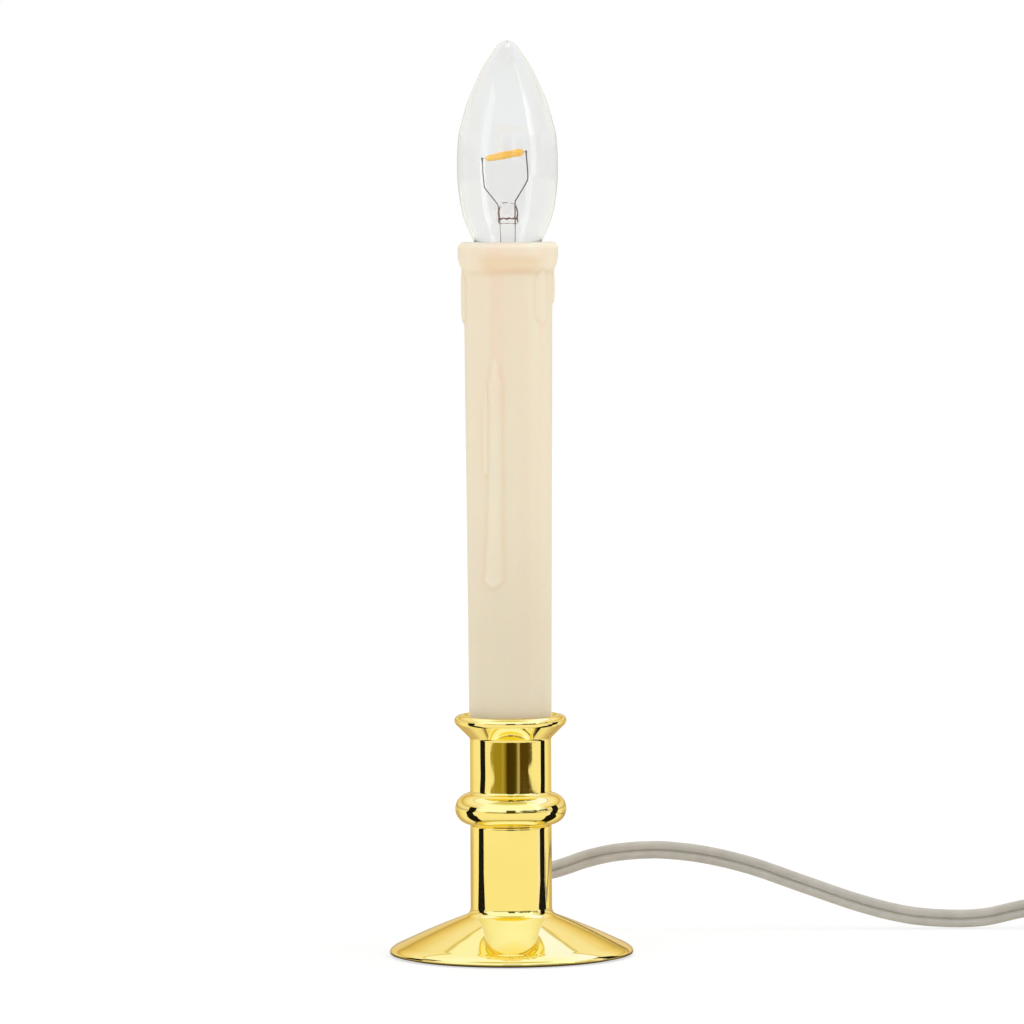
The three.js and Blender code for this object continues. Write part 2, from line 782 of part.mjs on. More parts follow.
function bulbGlass() {
  const neckBottom = bulbShellTop - glassNeckDepth;
  const curve = new THREE.SplineCurve([
    new THREE.Vector2(glassNeckRadius, neckBottom),
    new THREE.Vector2(glassNeckRadius, bulbShellTop + glassNeckRise),
    ...envelopeShape.map(([r, z]) =>
      new THREE.Vector2(r * glassRadius, bulbShellTop + z * glassLength)),
  ]);
  const outer = curve.getPoints(16);
  const inner = outer.map((point, i) => {
    const tangent = curve.getTangent(i / (outer.length - 1));
    const inset = new THREE.Vector2(-tangent.y, tangent.x).multiplyScalar(glassWall);
    return point.clone().add(inset);
  });
  inner[0].set(glassNeckRadius - glassWall, neckBottom);
  inner.at(-1).set(0, bulbShellTop + glassLength - glassWall);
  outer.at(-1).x = 0;
  const profile = [...outer.reverse(), ...inner].map((p) => [Math.max(0, p.x), p.y]);
  return turned(profile, 24);
}

// Glass stem: a flare in the neck, a tube, and a flat pinch round the leads.
function bulbStem() {
  const sides = 16;
  const flare = glassNeckRadius - glassWall - fitGap;
  const sections = [
    [-stemFlareDepth, flare, flare],
    [stemFlareFoot - stemFlareDepth, flare, flare],
    [stemTubeStart, stemTubeRadius, stemTubeRadius],
    [stemTubeEnd, stemTubeRadius, stemTubeRadius],
    [stemTubeEnd + pinchRise, pinchWidth / 2, pinchThickness / 2],
    [pinchTop - pinchEdge, pinchWidth / 2, pinchThickness / 2],
    [pinchTop, pinchWidth / 2 - pinchEdge, pinchThickness / 2 - pinchEdge],
  ];
  const rings = sections.map(([rise, halfWidth, halfDepth]) =>
    Array.from({ length: sides }, (_, i) => {
      const angle = (2 * Math.PI * i) / sides;
      return new THREE.Vector3(
        halfWidth * Math.cos(angle), halfDepth * Math.sin(angle), bulbShellTop + rise);
    }));
  return skinned(rings, false);
}

function filament() {
  const cylinder = new THREE.CylinderGeometry(
    filamentRadius, filamentRadius, 2 * filamentHalfLength, 10);
  cylinder.rotateZ(Math.PI / 2).rotateY(-filamentTilt);
  return closedGeometry(cylinder.translate(filamentShift, 0, bulbShellTop + filamentHeight));
}

// Bent wire from the pinch to one end of the filament.
function leadWire(side) {
  const reach = filamentHalfLength + fitGap;
  const endX = filamentShift + side * reach * Math.cos(filamentTilt);
  const endZ = filamentHeight + side * reach * Math.sin(filamentTilt);
  const start = pinchTop + fitGap;
  const bowX = endX + side * leadBowWidth;
  const route = new THREE.CatmullRomCurve3(points3([
    ...leadBends.map(([out, rise]) => [side * out, 0, start + rise]),
    [bowX, 0, start + leadBowRise],
    [bowX, 0, endZ - leadHook],
    [endX, 0, endZ],
  ]));
  const tube = alongRoute(roundSection(leadRadius, 6), route, 16);
  return closedGeometry(tube.translate(0, 0, bulbShellTop));
}

function driverBoard() {
  return block(boardWidth, boardThickness, boardHeight, 0, 0, insulatorTop + fitGap);
}

function driverCapacitor() {
  const [width, depth, height] = capacitorSize;
  const y = boardThickness / 2 + fitGap + depth / 2;
  return block(width, depth, height, 0, y, insulatorTop + 2 * fitGap);
}

addPiece('bulb_tip_contact',
  turned([
    [0, tipBottom], [tipContactRadius - tipContactEdge, tipBottom],
    [tipContactRadius, tipBottom + tipContactEdge],
    [tipContactRadius, insulatorBottom], [0, insulatorBottom],
  ], 20), 'steel');
addPiece('bulb_insulator', bulbInsulator(), 'vitrite');
addPiece('bulb_screw_shell', bulbShell(), 'brass');
addPiece('bulb_glass', bulbGlass(), 'glass');
addPiece('bulb_stem', bulbStem(), 'glass');
addPiece('left_lead_wire', leadWire(-1), 'wire');
addPiece('right_lead_wire', leadWire(1), 'wire');
addPiece('led_filament', filament(), 'filament');
addPiece('driver_board', driverBoard(), 'board');
addPiece('driver_capacitor', driverCapacitor(), 'capacitor');

// Strain relief and mains wires

const reliefInner =
  Math.sqrt(columnBore ** 2 - reliefFlangeRadius ** 2) - fitGap - reliefFlange;

function strainRelief() {
  const sides = 16;
  const stations = [
    [0, 1], [0.12, 1], [0.16, reliefWaist], [0.24, reliefWaist], [0.28, 1], [0.4, 1],
    [0.44, reliefWaist], [0.52, reliefWaist], [0.56, 1], [0.68, 1], [0.72, 0.9], [1, 1],
  ];
  const start = columnBore;
  const end = columnRadius + reliefLength;
  const rings = stations.map(([share, waist]) => {
    const wide = THREE.MathUtils.lerp(reliefRootRadius, reliefTipWide, share) * waist;
    const thick = THREE.MathUtils.lerp(reliefRootRadius, reliefTipThick, share) * waist;
    return Array.from({ length: sides }, (_, i) => {
      const angle = (2 * Math.PI * i) / sides;
      return new THREE.Vector3(
        thick * Math.cos(angle),
        THREE.MathUtils.lerp(start, end, share),
        cordHeight + wide * Math.sin(angle));
    });
  });
  const tail = cutFrom(
    skinned(rings, false), rod(columnRadius + fitGap, 0, 2 * cordHeight, 0, 0, 40));
  const alongY = (radius, low, high) =>
    rod(radius, low, high, 0, 0, 16).rotateX(-Math.PI / 2).translate(0, 0, cordHeight);
  return joined(
    tail,
    alongY(reliefNeckRadius, reliefInner + joinDepth, columnRadius + fitGap + joinDepth),
    alongY(reliefFlangeRadius, reliefInner, reliefInner + reliefFlange));
}

function mainsWire(side) {
  const x = side * wireOffset;
  const terminalX = side * terminalOffset;
  const start = reliefInner - fitGap;
  const free = floorUnder - fitGap - rodTop; // from the stem to the terminals
  const route = new THREE.CatmullRomCurve3(points3([
    [side * (wireRadius + fitGap), start, cordHeight],
    [side * (wireRadius + fitGap), start - wireRadius, cordHeight],
    [(x + side * (wireRadius + fitGap)) / 2, wireRadius, (2 * cordHeight + rodBottom) / 3],
    [x, 0, rodBottom - wireRadius],
    [x, 0, rodBottom + wireStraight],
    [x, 0, (rodBottom + rodTop) / 2],
    [x, 0, rodTop - wireStraight],
    [x, 0, rodTop + 0.07 * free],
    [(x + terminalX) / 2, 0, rodTop + 0.48 * free],
    [terminalX, 0, rodTop + 0.77 * free],
    [terminalX, 0, rodTop + free],
  ]));
  return alongRoute(roundSection(wireRadius, 8), route, 24);
}

addPiece('strain_relief', strainRelief(), 'moulding');
addPiece('hot_wire', mainsWire(-1), 'leadBlack');
addPiece('neutral_wire', mainsWire(1), 'leadWhite');

// Cord

const cordSection = new THREE.Shape(
  [
    [0.24, 1], [1, 0.65], [1, -0.65], [0.24, -1],
    [-0.24, -1], [-1, -0.65], [-1, 0.65], [-0.24, 1],
  ].map(([x, y]) => new THREE.Vector2((x * cordThick) / 2, (y * cordWide) / 2)),
);
const reliefTip = columnRadius + reliefLength;
const cordStart = reliefTip + fitGap;
const switchEntry = switchCentre.x - switchLength / 2 - fitGap;
const switchExit = switchCentre.x + switchLength / 2 + fitGap;
const switchMid = switchHeight / 2;

// Out of the back, round to the right, over a low arch and down to the surface
const leadRoute = points3([
  [0, cordStart, cordHeight], [0, 36, cordHeight + 0.05], [1.6, 42.5, 14.8],
  [5.6, 48.2, 15.1], [10.7, 51.4, 15.6], [14.8, 52.6, 16.7], [19, 53, 18.1],
  [24.3, 53, 19.4], [29.2, 53, 20.1], [34.3, 53, 20.45], [40, 53, 20.4],
  [50, 52.8, 19.2], [62, 52.3, 16.3], [76, 51.6, 11.4], [90, 51, 6.6],
  [102, 50.6, 3.6], [113, 50.3, 2.6], [122, 50.1, 2.9], [130, 50, 4.6],
  [134, 50, 5.35], [switchEntry, switchCentre.y, switchMid],
]);
const coilBottom = tieThickness + fitGap;
const coilLowLevel = coilBottom + cordWide / 2;
const coilHighLevel = coilLowLevel + coilLayerRise;
const coilEntry = new THREE.Vector3(coilCentre.x + coilRadius, coilCentre.y, coilLowLevel);
const coilExit = new THREE.Vector3(coilCentre.x, coilCentre.y + coilRadius, coilHighLevel);
const coilRoute = points3([
  [switchExit, switchCentre.y, switchMid], [184.6, 50, 5.2], [190, 48.7, 4.2],
  [196, 44.8, 3.5], [200.8, 38.3, 3.4], [202.8, 30, 3.4], [coilEntry.x, 22, 3.4],
  [coilEntry.x, coilEntry.y + cordWide + fitGap, coilLowLevel],
]);
const plugRoute = points3([
  [coilExit.x + cordWide + fitGap, coilExit.y, coilHighLevel], [186, 37, 8.55],
  [194, 37, 8.75], [200, 37, 8.7], [205, 37, 8.1], [208.5, 37, 7.3],
  [plugStart.x - fitGap, plugStart.y, plugStart.z],
]);

// One unbroken tube that spirals in on the lower layer, climbs a layer in the
// half turn where it reverses, and spirals out again above.
function coilPath() {
  const steps = Math.round(coilTurns * coilStepsPerTurn);
  const path = [];
  for (let i = 0; i <= steps; i += 1) {
    const turn = i / coilStepsPerTurn;
    const fromMiddle = turn - coilTurns / 2;
    const radius = coilRadius - coilPitch * (coilTurns / 2 - Math.abs(fromMiddle));
    const climb = THREE.MathUtils.smoothstep(fromMiddle, -0.25, 0.25);
    const angle = -2 * Math.PI * turn;
    path.push({
      spot: new THREE.Vector3(
        coilCentre.x + radius * Math.cos(angle),
        coilCentre.y + radius * Math.sin(angle),
        coilLowLevel + coilLayerRise * climb),
      outward: new THREE.Vector3(Math.cos(angle), Math.sin(angle), 0),
    });
  }
  const before = { ...path[0], spot: coilEntry.clone().add(new THREE.Vector3(0, cordWide, 0)) };
  const after = { ...path.at(-1), spot: coilExit.clone().add(new THREE.Vector3(cordWide, 0, 0)) };
  return [before, ...path, after];
}

function coilRings() {
  const section = [[0, 1], [1, 0.55], [1, -0.55], [0, -1], [-1, -0.55], [-1, 0.55]];
  return coilPath().map(({ spot, outward }) =>
    section.map(([across, up]) =>
      spot.clone()
        .addScaledVector(outward, (across * cordThick) / 2)
        .add(new THREE.Vector3(0, 0, (up * cordWide) / 2))));
}

// Least distance between points of the tube that lie over half a turn apart.
function leastGap(rings) {
  const apart = coilStepsPerTurn / 2;
  let least = Infinity;
  for (let i = 0; i < rings.length; i += 1) {
    for (let j = i + apart; j < rings.length; j += 1) {
      for (const p of rings[i]) {
        for (const q of rings[j]) least = Math.min(least, p.distanceTo(q));
      }
    }
  }
  return least;
}

const coil = coilRings();
console.log(`cord_coil: least gap to itself ${leastGap(coil).toFixed(2)} mm`);

function cordTie() {
  const inner = coilRadius - (coilPitch * coilTurns) / 2 - cordThick / 2 - fitGap;
  const outer = coilRadius + cordThick / 2 + fitGap;
  const height = cordWide + coilLayerRise + 2 * fitGap;
  const width = outer - inner;
  const shape = roundedRectangle(
    width + 2 * tieThickness, height + 2 * tieThickness, tieCorner + tieThickness);
  shape.holes.push(new THREE.Path(roundedRectangle(width, height, tieCorner).getPoints(3)));
  const band = new THREE.ExtrudeGeometry(shape, {
    depth: tieWidth, bevelEnabled: false, curveSegments: 3,
  });
  const around = THREE.MathUtils.degToRad(tieAngle);
  band.translate((inner + outer) / 2, height / 2 + tieThickness, -tieWidth / 2);
  band.rotateX(Math.PI / 2).rotateZ(around);
  return closedGeometry(band.translate(coilCentre.x, coilCentre.y, 0));
}

const leadCurve = new UprightRoute(leadRoute);
const coilCurve = new UprightRoute(coilRoute);
const plugCurve = new UprightRoute(plugRoute);
addPiece('cord_lead', alongRoute(cordSection, leadCurve, 30), 'cord');
addPiece('cord_to_coil', alongRoute(cordSection, coilCurve, 12), 'cord');
addPiece('cord_coil', skinned(coil, false), 'cord');
addPiece('cord_to_plug', alongRoute(cordSection, plugCurve, 8), 'cord');
addPiece('cord_tie', cordTie(), 'tie');

const coilSpots = coilPath().map((step) => step.spot);
const coilLength = new THREE.CurvePath();
coilSpots.slice(1).forEach((spot, i) => coilLength.add(new THREE.LineCurve3(coilSpots[i], spot)));
const cordLength =
  leadCurve.getLength() + coilCurve.getLength() + coilLength.getLength() + plugCurve.getLength();
console.log(`cord: ${cordLength.toFixed(0)} mm, of which ${coilLength.getLength().toFixed(0)} coiled`);

// Inline switch: two case halves round a thumbwheel that shows on both edges

const wheelBottom = switchMid - switchWheelHeight / 2;
const wheelTop = switchMid + switchWheelHeight / 2;

function switchCase() {
  const outline = roundedRectangle(switchLength, switchWidth, switchCorner);
  const extruded = new THREE.ExtrudeGeometry(outline, {
    depth: switchHeight - 2 * switchEdge, bevelThickness: switchEdge, bevelSize: switchEdge,
    bevelOffset: -switchEdge, bevelSegments: 1, curveSegments: 3,
  });
  return extruded.translate(switchCentre.x, switchCentre.y, switchEdge);
}

function switchHalf(bottom, top) {
  const { x, y } = switchCentre;
  const keep = block(2 * switchLength, 2 * switchWidth, top - bottom, x, y, bottom);
  const half = fromSolid(toSolid(switchCase()).intersect(toSolid(keep)));
  const pocket = rod(switchWheelRadius + wheelGap, wheelBottom - wheelGap,
    wheelTop + wheelGap, x, y, 32);
  const axleHole = rod(axleRadius + fitGap, switchMid - axleLength / 2 - fitGap,
    switchMid + axleLength / 2 + fitGap, x, y, 12);
  const screwHole = rod(screwRadius + fitGap, screwBottom - fitGap,
    switchHeight - screwHeadHeight, x + screwOffset, y, 12);
  const headHole = rod(screwHeadRadius + fitGap, switchHeight - screwHeadHeight - fitGap,
    switchHeight + joinDepth, x + screwOffset, y, 16);
  return cutFrom(half, pocket, axleHole, screwHole, headHole);
}

function thumbwheel() {
  const count = wheelTeeth * 2;
  const outline = new THREE.Shape(
    Array.from({ length: count }, (_, i) => {
      const radius = switchWheelRadius - (i % 2) * toothDepth;
      const angle = (2 * Math.PI * i) / count;
      return new THREE.Vector2(radius * Math.cos(angle), radius * Math.sin(angle));
    }));
  const bore = new THREE.Path();
  bore.absarc(0, 0, axleRadius + fitGap, 0, 2 * Math.PI, true);
  outline.holes.push(bore);
  const extruded = new THREE.ExtrudeGeometry(outline, {
    depth: switchWheelHeight, bevelEnabled: false, curveSegments: 8,
  });
  return closedGeometry(extruded.translate(switchCentre.x, switchCentre.y, wheelBottom));
}

function switchScrew() {
  const { x, y } = switchCentre;
  const seat = switchHeight - screwHeadHeight;
  return joined(
    rod(screwRadius, screwBottom, seat + joinDepth, x + screwOffset, y, 12),
    rod(screwHeadRadius, seat, switchHeight - screwHeadSink, x + screwOffset, y, 16));
}

addPiece('switch_case_bottom', switchHalf(0, switchMid), 'moulding');
addPiece('switch_case_top', switchHalf(switchMid, switchHeight), 'moulding');
addPiece('switch_thumbwheel', thumbwheel(), 'leadBlack');
addPiece('switch_axle',
  rod(axleRadius, switchMid - axleLength / 2, switchMid + axleLength / 2,
    switchCentre.x, switchCentre.y, 12), 'steel');
addPiece('switch_screw', switchScrew(), 'steel');

// Plug

const plugFace = plugStart.x + plugLength;

function plugBody() {
  const sides = 20;
  // Distance from the tail's end, width, height, and how square the section is:
  // the power of its sine, 1 for an ellipse
  const stations = [
    [0, plugTailWidth, plugTailHeight, 0.9],
    [plugTailLength, plugTailWidth + 2 * plugEdge, plugTailHeight + 2 * plugEdge, 0.8],
    [plugShoulder, plugWidth - 2 * plugEdge, plugHeight - 2 * plugEdge, 0.45],
    [plugShoulder + plugShoulderRound, plugWidth, plugHeight, 0.4],
    [plugLength - plugEdge, plugWidth, plugHeight, 0.4],
    [plugLength, plugWidth - 2 * plugEdge, plugHeight - 2 * plugEdge, 0.4],
  ];
  const rings = stations.map(([along, width, height, power]) =>
    Array.from({ length: sides }, (_, i) => {
      const angle = (2 * Math.PI * (i + 0.5)) / sides;
      const [c, s] = [Math.cos(angle), Math.sin(angle)];
      return new THREE.Vector3(
        plugStart.x + along,
        plugStart.y + (width / 2) * Math.sign(c) * Math.abs(c) ** power,
        plugStart.z + (height / 2) * Math.sign(s) * Math.abs(s) ** power);
    }));
  const slotLength = bladeRoot + fitGap + joinDepth;
  const slot = (side, width) => block(
    slotLength, bladeThickness + 2 * fitGap, width + 2 * fitGap,
    plugFace + joinDepth - slotLength / 2, plugStart.y + (side * bladeSpacing) / 2,
    plugStart.z - width / 2 - fitGap);
  return cutFrom(skinned(rings, false), slot(-1, hotBladeWidth), slot(1, neutralBladeWidth));
}

function plugBlade(side, width) {
  const full = bladeLength + bladeRoot;
  return block(
    full, bladeThickness, width, plugFace - bladeRoot + full / 2,
    plugStart.y + (side * bladeSpacing) / 2, plugStart.z - width / 2);
}

addPiece('plug_body', plugBody(), 'moulding');
addPiece('plug_blade_hot', plugBlade(-1, hotBladeWidth), 'steel');
addPiece('plug_blade_neutral', plugBlade(1, neutralBladeWidth), 'steel');

export default candle;
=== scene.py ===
import math

import bmesh
import bpy
from mathutils import Matrix, Vector


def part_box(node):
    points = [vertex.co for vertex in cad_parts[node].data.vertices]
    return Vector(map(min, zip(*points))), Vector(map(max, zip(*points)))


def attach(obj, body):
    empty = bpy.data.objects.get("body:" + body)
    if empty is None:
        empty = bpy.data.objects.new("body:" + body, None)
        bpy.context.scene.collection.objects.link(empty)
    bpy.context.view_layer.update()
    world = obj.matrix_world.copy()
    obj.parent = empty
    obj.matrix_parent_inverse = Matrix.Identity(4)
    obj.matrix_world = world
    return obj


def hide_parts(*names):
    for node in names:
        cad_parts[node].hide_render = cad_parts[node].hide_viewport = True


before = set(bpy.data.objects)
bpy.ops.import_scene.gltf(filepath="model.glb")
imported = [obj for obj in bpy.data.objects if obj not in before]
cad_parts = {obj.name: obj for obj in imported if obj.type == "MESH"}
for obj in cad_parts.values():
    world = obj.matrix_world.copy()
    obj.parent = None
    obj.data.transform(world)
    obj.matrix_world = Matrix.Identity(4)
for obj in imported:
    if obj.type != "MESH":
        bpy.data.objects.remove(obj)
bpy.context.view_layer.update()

MM = 0.001  # shapes are written in millimetres and placed in metres
ON_AXIS = 1e-6  # a radius that counts as none

# Camera, from where the photograph shows the candle
PHOTO_SIZE = 1024
AXIS_COLUMN = 509.3  # the candle's axis, halfway up the picture
ROLL = -0.3  # degrees by which the picture is turned
FLOOR_ROW = 954.0  # the surface that it stands on, at the axis
EYE_HEIGHT = 0.1935
PIXELS_PER_MM = 4.01
CAMERA_DISTANCE = 1.6
SENSOR_WIDTH = 36.0


def set_camera():
    """A long lens a little above the socket, pitched down to centre the candle."""
    focal_pixels = PIXELS_PER_MM * CAMERA_DISTANCE / MM
    to_floor = math.atan(EYE_HEIGHT / CAMERA_DISTANCE)
    pitch = to_floor - math.atan((FLOOR_ROW - PHOTO_SIZE / 2) / focal_pixels)
    data = bpy.data.cameras.new("camera")
    data.sensor_width = SENSOR_WIDTH
    data.lens = SENSOR_WIDTH * focal_pixels / PHOTO_SIZE
    data.clip_start, data.clip_end = 0.05, 20.0
    camera = bpy.data.objects.new("camera", data)
    bpy.context.collection.objects.link(camera)
    across = (PHOTO_SIZE / 2 - AXIS_COLUMN) / focal_pixels * CAMERA_DISTANCE
    camera.location = (across, -CAMERA_DISTANCE, EYE_HEIGHT)
    turned_up = Matrix.Rotation(math.pi / 2 - pitch, 3, "X")
    rolled = Matrix.Rotation(math.radians(ROLL), 3, "Z")
    camera.rotation_euler = (turned_up @ rolled).to_euler()
    bpy.context.scene.camera = camera


set_camera()


# Mesh helpers

def shade(bm, sharp_degrees):
    """Smooth faces, with edges kept sharp where they bend more than an angle."""
    limit = math.radians(sharp_degrees)
    for face in bm.faces:
        face.smooth = True
    for edge in bm.edges:
        edge.smooth = edge.is_manifold and edge.calc_face_angle(0.0) < limit


def finish_mesh(bm, name, sharp_degrees=35.0):
    """Makes an object in metres of a bmesh in millimetres."""
    bmesh.ops.remove_doubles(bm, verts=bm.verts, dist=1e-4)
    bmesh.ops.recalc_face_normals(bm, faces=bm.faces)
    shade(bm, sharp_degrees)
    bmesh.ops.scale(bm, vec=(MM, MM, MM), verts=bm.verts)
    mesh = bpy.data.meshes.new(name)
    bm.to_mesh(mesh)
    bm.free()
    obj = bpy.data.objects.new(name, mesh)
    bpy.context.collection.objects.link(obj)
    return obj


def add_rings(bm, rings, looped=False, capped=True):
    """Joins rings of equally many points; looped closes on the first ring."""
    made = [[bm.verts.new(p) for p in ring] for ring in rings]
    count = len(rings[0])
    pairs = list(zip(made, made[1:]))
    if looped:
        pairs.append((made[-1], made[0]))
    for here, after in pairs:
        for j in range(count):
            k = (j + 1) % count
            bm.faces.new((here[j], here[k], after[k], after[j]))
    if capped and not looped:
        bm.faces.new(made[0])
        bm.faces.new(made[-1])
    return made


def ringed(name, rings, looped=False, sharp_degrees=35.0):
    bm = bmesh.new()
    add_rings(bm, rings, looped)
    return finish_mesh(bm, name, sharp_degrees)


def circle(radius, z, sides, centre=(0.0, 0.0)):
    """A level ring of points; radius is a number or a function of the angle."""
    ring = []
    for i in range(sides):
        a = 2 * math.pi * i / sides
        r = radius(a) if callable(radius) else radius
        ring.append(Vector((centre[0] + r * math.cos(a), centre[1] + r * math.sin(a), z)))
    return ring


def unit_circle(sides):
    """Cosine and sine of equal steps round a full turn."""
    angles = [2 * math.pi * i / sides for i in range(sides)]
    return [(math.cos(a), math.sin(a)) for a in angles]


def turned(name, outline, sides, sharp_degrees=35.0, centre=(0.0, 0.0)):
    """Turns an outline of (radius, height) about an upright axis. It closes on
    itself, or starts and ends on the axis."""
    bm = bmesh.new()
    rings = [circle(r, z, sides, centre) for r, z in outline if r > ON_AXIS]
    closes = len(rings) == len(outline)
    made = add_rings(bm, rings, looped=closes, capped=False)
    if not closes:
        for ring, (_, z) in ((made[0], outline[0]), (made[-1], outline[-1])):
            tip = bm.verts.new((*centre, z))
            for j in range(sides):
                bm.faces.new((ring[j], ring[(j + 1) % sides], tip))
    return finish_mesh(bm, name, sharp_degrees)


def arc(centre, radius, start, end, steps):
    """Points on an arc of an outline, with angles in degrees from +radius."""
    angles = (math.radians(start + (end - start) * i / steps) for i in range(steps + 1))
    return [(centre[0] + radius * math.cos(a), centre[1] + radius * math.sin(a))
            for a in angles]


def bend(start, corner, end, steps=8):
    """Points on a curve from start to end that is drawn towards a corner."""
    return [
        tuple((1 - t) ** 2 * a + 2 * t * (1 - t) * b + t * t * c
              for a, b, c in zip(start, corner, end))
        for t in (i / steps for i in range(steps + 1))]


def smooth_line(points, steps):
    """A Catmull-Rom curve through points of any number of values."""
    line = []
    last = len(points) - 1
    for i in range(last):
        near = [points[k] for k in (max(0, i - 1), i, i + 1, min(last, i + 2))]
        for k in range(steps):
            t = k / steps
            line.append(tuple(
                0.5 * (2 * b + (c - a) * t + (2 * a - 5 * b + 4 * c - d) * t * t
                       + (3 * b - a - 3 * c + d) * t ** 3)
                for a, b, c, d in zip(*near)))
    return line + [tuple(points[-1])]


def rounded_line(points, radius, steps=6):
    """Straight runs between points, with each corner rounded off."""
    line = [Vector(points[0])]
    for before, corner, after in zip(points, points[1:], points[2:]):
        before, corner, after = Vector(before), Vector(corner), Vector(after)
        reach = min(radius, (before - corner).length / 2, (after - corner).length / 2)
        start = corner + (before - corner).normalized() * reach
        end = corner + (after - corner).normalized() * reach
        line += [Vector(p) for p in bend(start, corner, end, steps)]
    line.append(Vector(points[-1]))
    return line


def heading(path, i):
    """Direction of a path at one of its points."""
    return (path[min(i + 1, len(path) - 1)] - path[max(i - 1, 0)]).normalized()


def wire(name, path, radius, sides=14):
    """A round tube along a path, turned as little as possible from step to step;
    radius is one number or one for each point."""
    path = [Vector(p) for p in path]
    radii = radius if isinstance(radius, list) else [radius] * len(path)
    side = heading(path, 0).orthogonal().normalized()
    rings = []
    for i, point in enumerate(path):
        ahead = heading(path, i)
        side = (side - ahead * side.dot(ahead)).normalized()
        up = ahead.cross(side)
        rings.append([point + (side * c + up * s) * radii[i] for c, s in unit_circle(sides)])
    return ringed(name, rings, sharp_degrees=60.0)


def cut_out(obj, *cutters, sharp_degrees=30.0):
    """Takes other objects' space out of a piece, and removes them."""
    for cutter in cutters:
        modifier = obj.modifiers.new("cut", "BOOLEAN")
        modifier.operation = "DIFFERENCE"
        modifier.solver = "EXACT"
        modifier.object = cutter
        shaped = obj.evaluated_get(bpy.context.evaluated_depsgraph_get())
        mesh = bpy.data.meshes.new_from_object(shaped)
        obj.modifiers.clear()
        obj.data = mesh
        bpy.data.objects.remove(cutter)
    bm = bmesh.new()
    bm.from_mesh(obj.data)
    bmesh.ops.remove_doubles(bm, verts=bm.verts, dist=1e-7)
    shade(bm, sharp_degrees)
    bm.to_mesh(obj.data)
    bm.free()
    return obj


def clamped(value):
    return min(1.0, max(0.0, value))


def smoothstep(low, high, value):
    t = clamped((value - low) / (high - low))
    return t * t * (3 - 2 * t)


def groove_depth(place, centres, half_width, power, depth):
    """Depth at a place along a piece that has grooves across it."""
    return depth * max(0.0, *(1 - ((place - c) / half_width) ** power for c in centres))


def bottom_of(node):
    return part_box(node)[0].z / MM


def top_of(node):
    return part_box(node)[1].z / MM


MATERIALS = {}  # by name


def set_material(obj, name):
    obj.data.materials.clear()
    obj.data.materials.append(MATERIALS[name])


def dress(obj, material, *nodes, body="candlestick", slot=None):
    """Gives a piece its material and its body, and hides the CAD nodes that it stands for."""
    set_material(obj, material)
    if nodes:
        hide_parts(*nodes)
    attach(obj, body)
    return obj


def drill(radius, low, high, sides=64, centre=(0.0, 0.0)):
    """An upright cylinder that cut_out takes away."""
    return turned("drill", [(0, low), (radius, low), (radius, high), (0, high)], sides,
                  centre=centre)


# Material helpers. An input is a number, a colour or another node's output.

TO_DEGREES = 180.0 / math.pi


def put(socket, value):
    """Gives an input a plain value, or links another node's output to it."""
    if isinstance(value, bpy.types.NodeSocket):
        socket.id_data.links.new(value, socket)
    else:
        socket.default_value = (*value, 1.0) if socket.type == "RGBA" else value


def set_inputs(node, **inputs):
    """Sets inputs by name, with underscores for spaces."""
    for name, value in inputs.items():
        put(node.inputs[name.replace("_", " ")], value)
    return node


def add_node(tree, kind, *values, **inputs):
    """A shader node, with its inputs in their order or by name."""
    node = set_inputs(tree.nodes.new("ShaderNode" + kind), **inputs)
    for socket, value in zip(node.inputs, values):
        put(socket, value)
    return node


def tree_of(*values):
    """The tree of the first output among some values."""
    return next(v.id_data for v in values if isinstance(v, bpy.types.NodeSocket))


def new_material(name, **inputs):
    """A Principled material with plain values on the shader's own sockets."""
    material = MATERIALS[name] = bpy.data.materials.new(name)
    material.use_nodes = True
    tree = material.node_tree
    return tree, set_inputs(tree.nodes["Principled BSDF"], **inputs)


def object_noise(tree, scale, detail=3.0, stretch=(1.0, 1.0, 1.0)):
    """Noise in the object's own space; scale is in features to the metre."""
    place = add_node(tree, "TexCoord").outputs["Object"]
    mapped = add_node(tree, "Mapping", Vector=place, Scale=stretch).outputs["Vector"]
    return add_node(tree, "TexNoise", Vector=mapped, Scale=scale, Detail=detail).outputs["Fac"]


def ramp(factor, *stops):
    """A colour ramp over a factor, with stops of (place, colour)."""
    node = add_node(factor.id_data, "ValToRGB", factor)
    elements = node.color_ramp.elements
    while len(elements) < len(stops):
        elements.new(0.5)
    for element, (place, colour) in zip(elements, stops):
        element.position = place
        element.color = (*colour, 1.0)
    return node.outputs["Color"]


def mottled(noise, dark, light):
    """A colour that wanders between a dark and a light one."""
    return ramp(noise, (0.3, dark), (0.7, light))


def value_range(value, low, high, start=0.0, end=1.0, smooth=False):
    """From low to high as a value goes from start to end."""
    node = add_node(value.id_data, "MapRange", Value=value, From_Min=start, From_Max=end,
                    To_Min=low, To_Max=high)
    node.interpolation_type = "SMOOTHSTEP" if smooth else "LINEAR"
    return node.outputs["Result"]


def share(value, start, end):
    """How far a value is on its way from start to end, between 0 and 1."""
    return value_range(value, 0.0, 1.0, start, end)


def eased(value, start, end, low=0.0, high=1.0):
    """From low to high with soft ends, as a value goes from start to end."""
    return value_range(value, low, high, start, end, True)


def mixed(factor, first, second, blend="MIX"):
    """Mixes two colours."""
    node = tree_of(factor, first, second).nodes.new("ShaderNodeMix")
    node.data_type = "RGBA"
    node.blend_type = blend
    colours = [s for s in node.inputs if s.type == "RGBA"]
    for socket, value in zip((node.inputs[0], *colours), (factor, first, second)):
        put(socket, value)
    return next(s for s in node.outputs if s.type == "RGBA")


